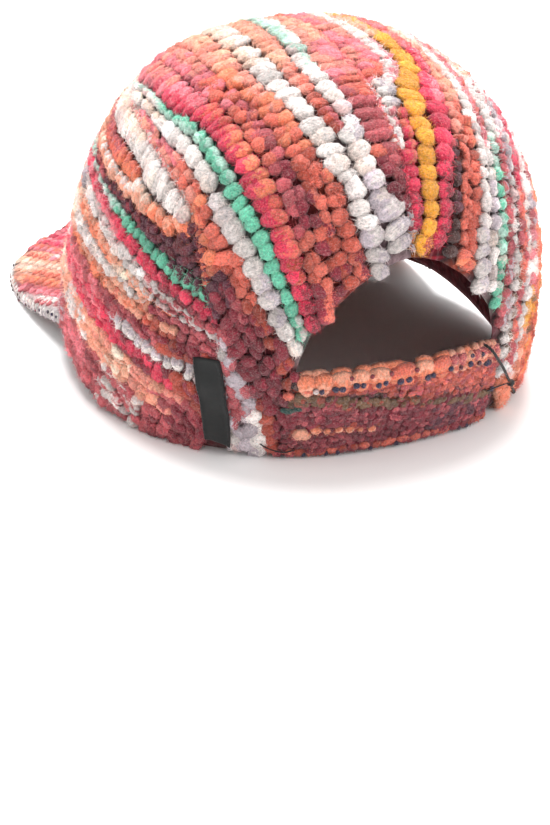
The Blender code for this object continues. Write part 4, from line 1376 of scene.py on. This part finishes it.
def tuckUnder(names):  # wool under the label lies flat, so that none pokes through it
    patch = np.array((topFront, topBack, lowBack, lowFront))
    for name, room in names:
        mesh = bpy.data.objects[name].data
        for vert in mesh.vertices:
            if vert.co.x < 0.045 or vert.co.y < 0.02 or vert.co.z > 0.06:  # far from the label
                continue
            found = lookup.find(vert.co)[1]
            if insideOutline(patch, chartSpots[found][None])[0]:
                normal = Vector(skinNormal(*chartSpots[found]))
                height = (vert.co - Vector(skinSpots[found])).dot(normal)
                vert.co -= normal * max(0.0, height - room)
        mesh.update()


tuckUnder((("loops_side_panel_left", 0.0009), ("fuzz_side_panel_left", 0.0009),
           ("loops_back_panel_left", 0.0012), ("fuzz_back_panel_left", 0.0012)))

cordForm = {"radius": 0.00052, "knot": 0.0014, "twist": 0.0030, "sides": 12, "fineRadius": 0.00028}
cordCourse = [(108.6, 0.112, -0.0062), (108.7, 0.130, -0.0060), (108.9, 0.147, -0.0036), (109.3, 0.150, 0.0002),
              (110.2, 0.141, 0.0028), (112.3, 0.121, 0.0030), (114.6, 0.103, 0.0026), (117.3, 0.082, 0.0022),
              (120.4, 0.058, 0.0022), (122.0, 0.047, 0.0026), (123.6, 0.037, 0.0022), (126.6, 0.022, 0.0019),
              (128.6, 0.014, 0.0015)]


def twistedCord(name, path, radius, look, knots=(), plies=2):
    # a tube with the hollows of its plies turning round it
    path = [Vector(p) for p in path]
    run = [0.0]
    for one, two in zip(path, path[1:]):
        run.append(run[-1] + (two - one).length)
    steps = max(int(run[-1] / 0.0004), 12)
    bm = bmesh.new()
    rings = []
    side = None
    count = cordForm["sides"]
    for step in range(steps + 1):
        want = run[-1] * step / steps
        k = min(max(int(np.searchsorted(run, want)), 1), len(run) - 1)
        t = (want - run[k - 1]) / max(run[k] - run[k - 1], 1e-9)
        spot = path[k - 1].lerp(path[k], t)
        tangent = (path[min(k + 1, len(path) - 1)] - path[max(k - 2, 0)]).normalized()
        if side is None:
            side = tangent.orthogonal().normalized()
        side = (side - tangent * side.dot(tangent)).normalized()
        other = tangent.cross(side)
        swell = 1.0
        for knotAt, size in knots:
            swell += (size / radius - 1) * math.exp(-((spot - Vector(knotAt)).length / 0.0013) ** 2)
        close = min(step, steps - step)
        taper = (0.35, 0.8, 1.0)[min(close, 2)]
        ring = []
        for corner in range(count):
            angle = 2 * math.pi * corner / count
            turn = 2 * math.pi * want / cordForm["twist"]
            r = radius * swell * taper * (1 + 0.16 * math.cos(plies * (angle - turn)))
            ring.append(bm.verts.new(spot + side * (math.cos(angle) * r) + other * (math.sin(angle) * r)))
        rings.append(ring)
    for one, two in zip(rings, rings[1:]):
        for corner in range(count):
            nxt = (corner + 1) % count
            bm.faces.new((one[corner], one[nxt], two[nxt], two[corner])).smooth = True
    bm.faces.new(rings[0][::-1])
    bm.faces.new(rings[-1])
    bmesh.ops.recalc_face_normals(bm, faces=bm.faces)
    return pieceFrom(bm, name, look)


def courseOnCrown(table, count=6):
    spots = []
    for turn, climb, lift in table:
        a, b = chartOf(turn, climb)
        spots.append(skinPoint(a, b) + skinNormal(a, b) * lift)
    return rounded(np.array(spots), count), spots


def makeCord():
    black = threadLook("blackCord", (.006, .006, .006), (.030, .028, .028))
    path, spots = courseOnCrown(cordCourse)
    cord = twistedCord("strap_cord", path, cordForm["radius"], black,
                       [(spots[9], cordForm["knot"]), (spots[12], cordForm["knot"] * 0.8)])
    finish(cord, "black_cord", "tie_cord")
    branch, _ = courseOnCrown([(122.0, 0.047, 0.0026), (119.0, 0.050, 0.0020), (115.5, 0.052, 0.0017),
                               (112.5, 0.050, 0.0010)])
    finish(twistedCord("cord_branch", branch, cordForm["fineRadius"], black), "black_cord")
    loose, _ = courseOnCrown([(59.5, 0.022, 0.0004), (61.5, 0.018, 0.0022), (64.0, 0.013, 0.0024),
                              (66.5, 0.010, 0.0022), (69.0, 0.009, 0.0008)])
    finish(twistedCord("seam_thread", loose, cordForm["fineRadius"] * .9, black), "black_cord")
    print("cord ready")


makeCord()

# camera at the photograph's angle
view = {
    "azimuth": 153.381939, "elevation": 36.2583458, "roll": 6.5450732, "away": 0.680553491,
    "slideX": -0.00683071, "slideY": -0.03032757, "focalPixels": 1632.6293, "imageHeight": 825,
}


def placeCamera():
    a, e = math.radians(view["azimuth"]), math.radians(view["elevation"])
    back = Vector((math.sin(a) * math.cos(e), -math.cos(a) * math.cos(e), math.sin(e)))
    right = (-back).cross(Vector((0, 0, 1))).normalized()
    up = right.cross(-back)
    r = math.radians(view["roll"])
    right2 = right * math.cos(r) + up * math.sin(r)
    up2 = up * math.cos(r) - right * math.sin(r)
    place = back * view["away"] + right2 * view["slideX"] + up2 * view["slideY"]
    turn = Matrix.Rotation(-lean, 3, "X")
    data = bpy.data.cameras.new("photoView")
    data.sensor_fit = "AUTO"
    data.sensor_width = 36.0
    data.lens = view["focalPixels"] / view["imageHeight"] * 36.0
    data.clip_start, data.clip_end = 0.02, 20.0
    camera = bpy.data.objects.new("photoView", data)
    basis = Matrix((turn @ right2, turn @ up2, turn @ back)).transposed().to_4x4()
    shift = Vector((0, crown["restShift"], crown["restLift"]))
    camera.matrix_world = Matrix.Translation(turn @ place + shift) @ basis
    bpy.context.scene.collection.objects.link(camera)
    bpy.context.scene.camera = camera


placeCamera()

studio = {"floorTone": 0.93, "world": 0.93, "keyPower": 38.0, "fillPower": 8.0}


def makeStudio():
    bm = bmesh.new()
    bmesh.ops.create_grid(bm, x_segments=2, y_segments=2, size=4.0)
    look, tree, shader = newLook("paleFloor", 0.9, 0.0, 0.1)
    paleness = studio["floorTone"]
    tone = ranged(tree, noise(tree, objectSpot(tree), 3.0), 0.0, 1.0, paleness - 0.01, paleness + 0.01)
    pieceFrom(bm, "floor", painted(look, tree, shader, tone))
    world = bpy.data.worlds.new("studio")
    world.use_nodes = True
    sky = world.node_tree.nodes["Background"]
    sky.inputs["Color"].default_value = (1.0, 0.99, 0.98, 1.0)
    sky.inputs["Strength"].default_value = studio["world"]
    bpy.context.scene.world = world
    for name, place, size, power in (
        ("keyLight", (-0.15, -0.42, 1.42), 0.9, studio["keyPower"]),
        ("fillLight", (-0.9, 1.1, 0.9), 1.2, studio["fillPower"]),
    ):
        data = bpy.data.lights.new(name, "AREA")
        data.shape = "DISK"
        data.size = size
        data.energy = power
        lamp = bpy.data.objects.new(name, data)
        lamp.location = place
        lamp.rotation_euler = (Vector((0, 0, 0.06)) - Vector(place)).to_track_quat("-Z", "Y").to_euler()
        bpy.context.scene.collection.objects.link(lamp)
    bpy.context.scene.view_settings.view_transform = "Standard"


makeStudio()
print("camera and studio ready")
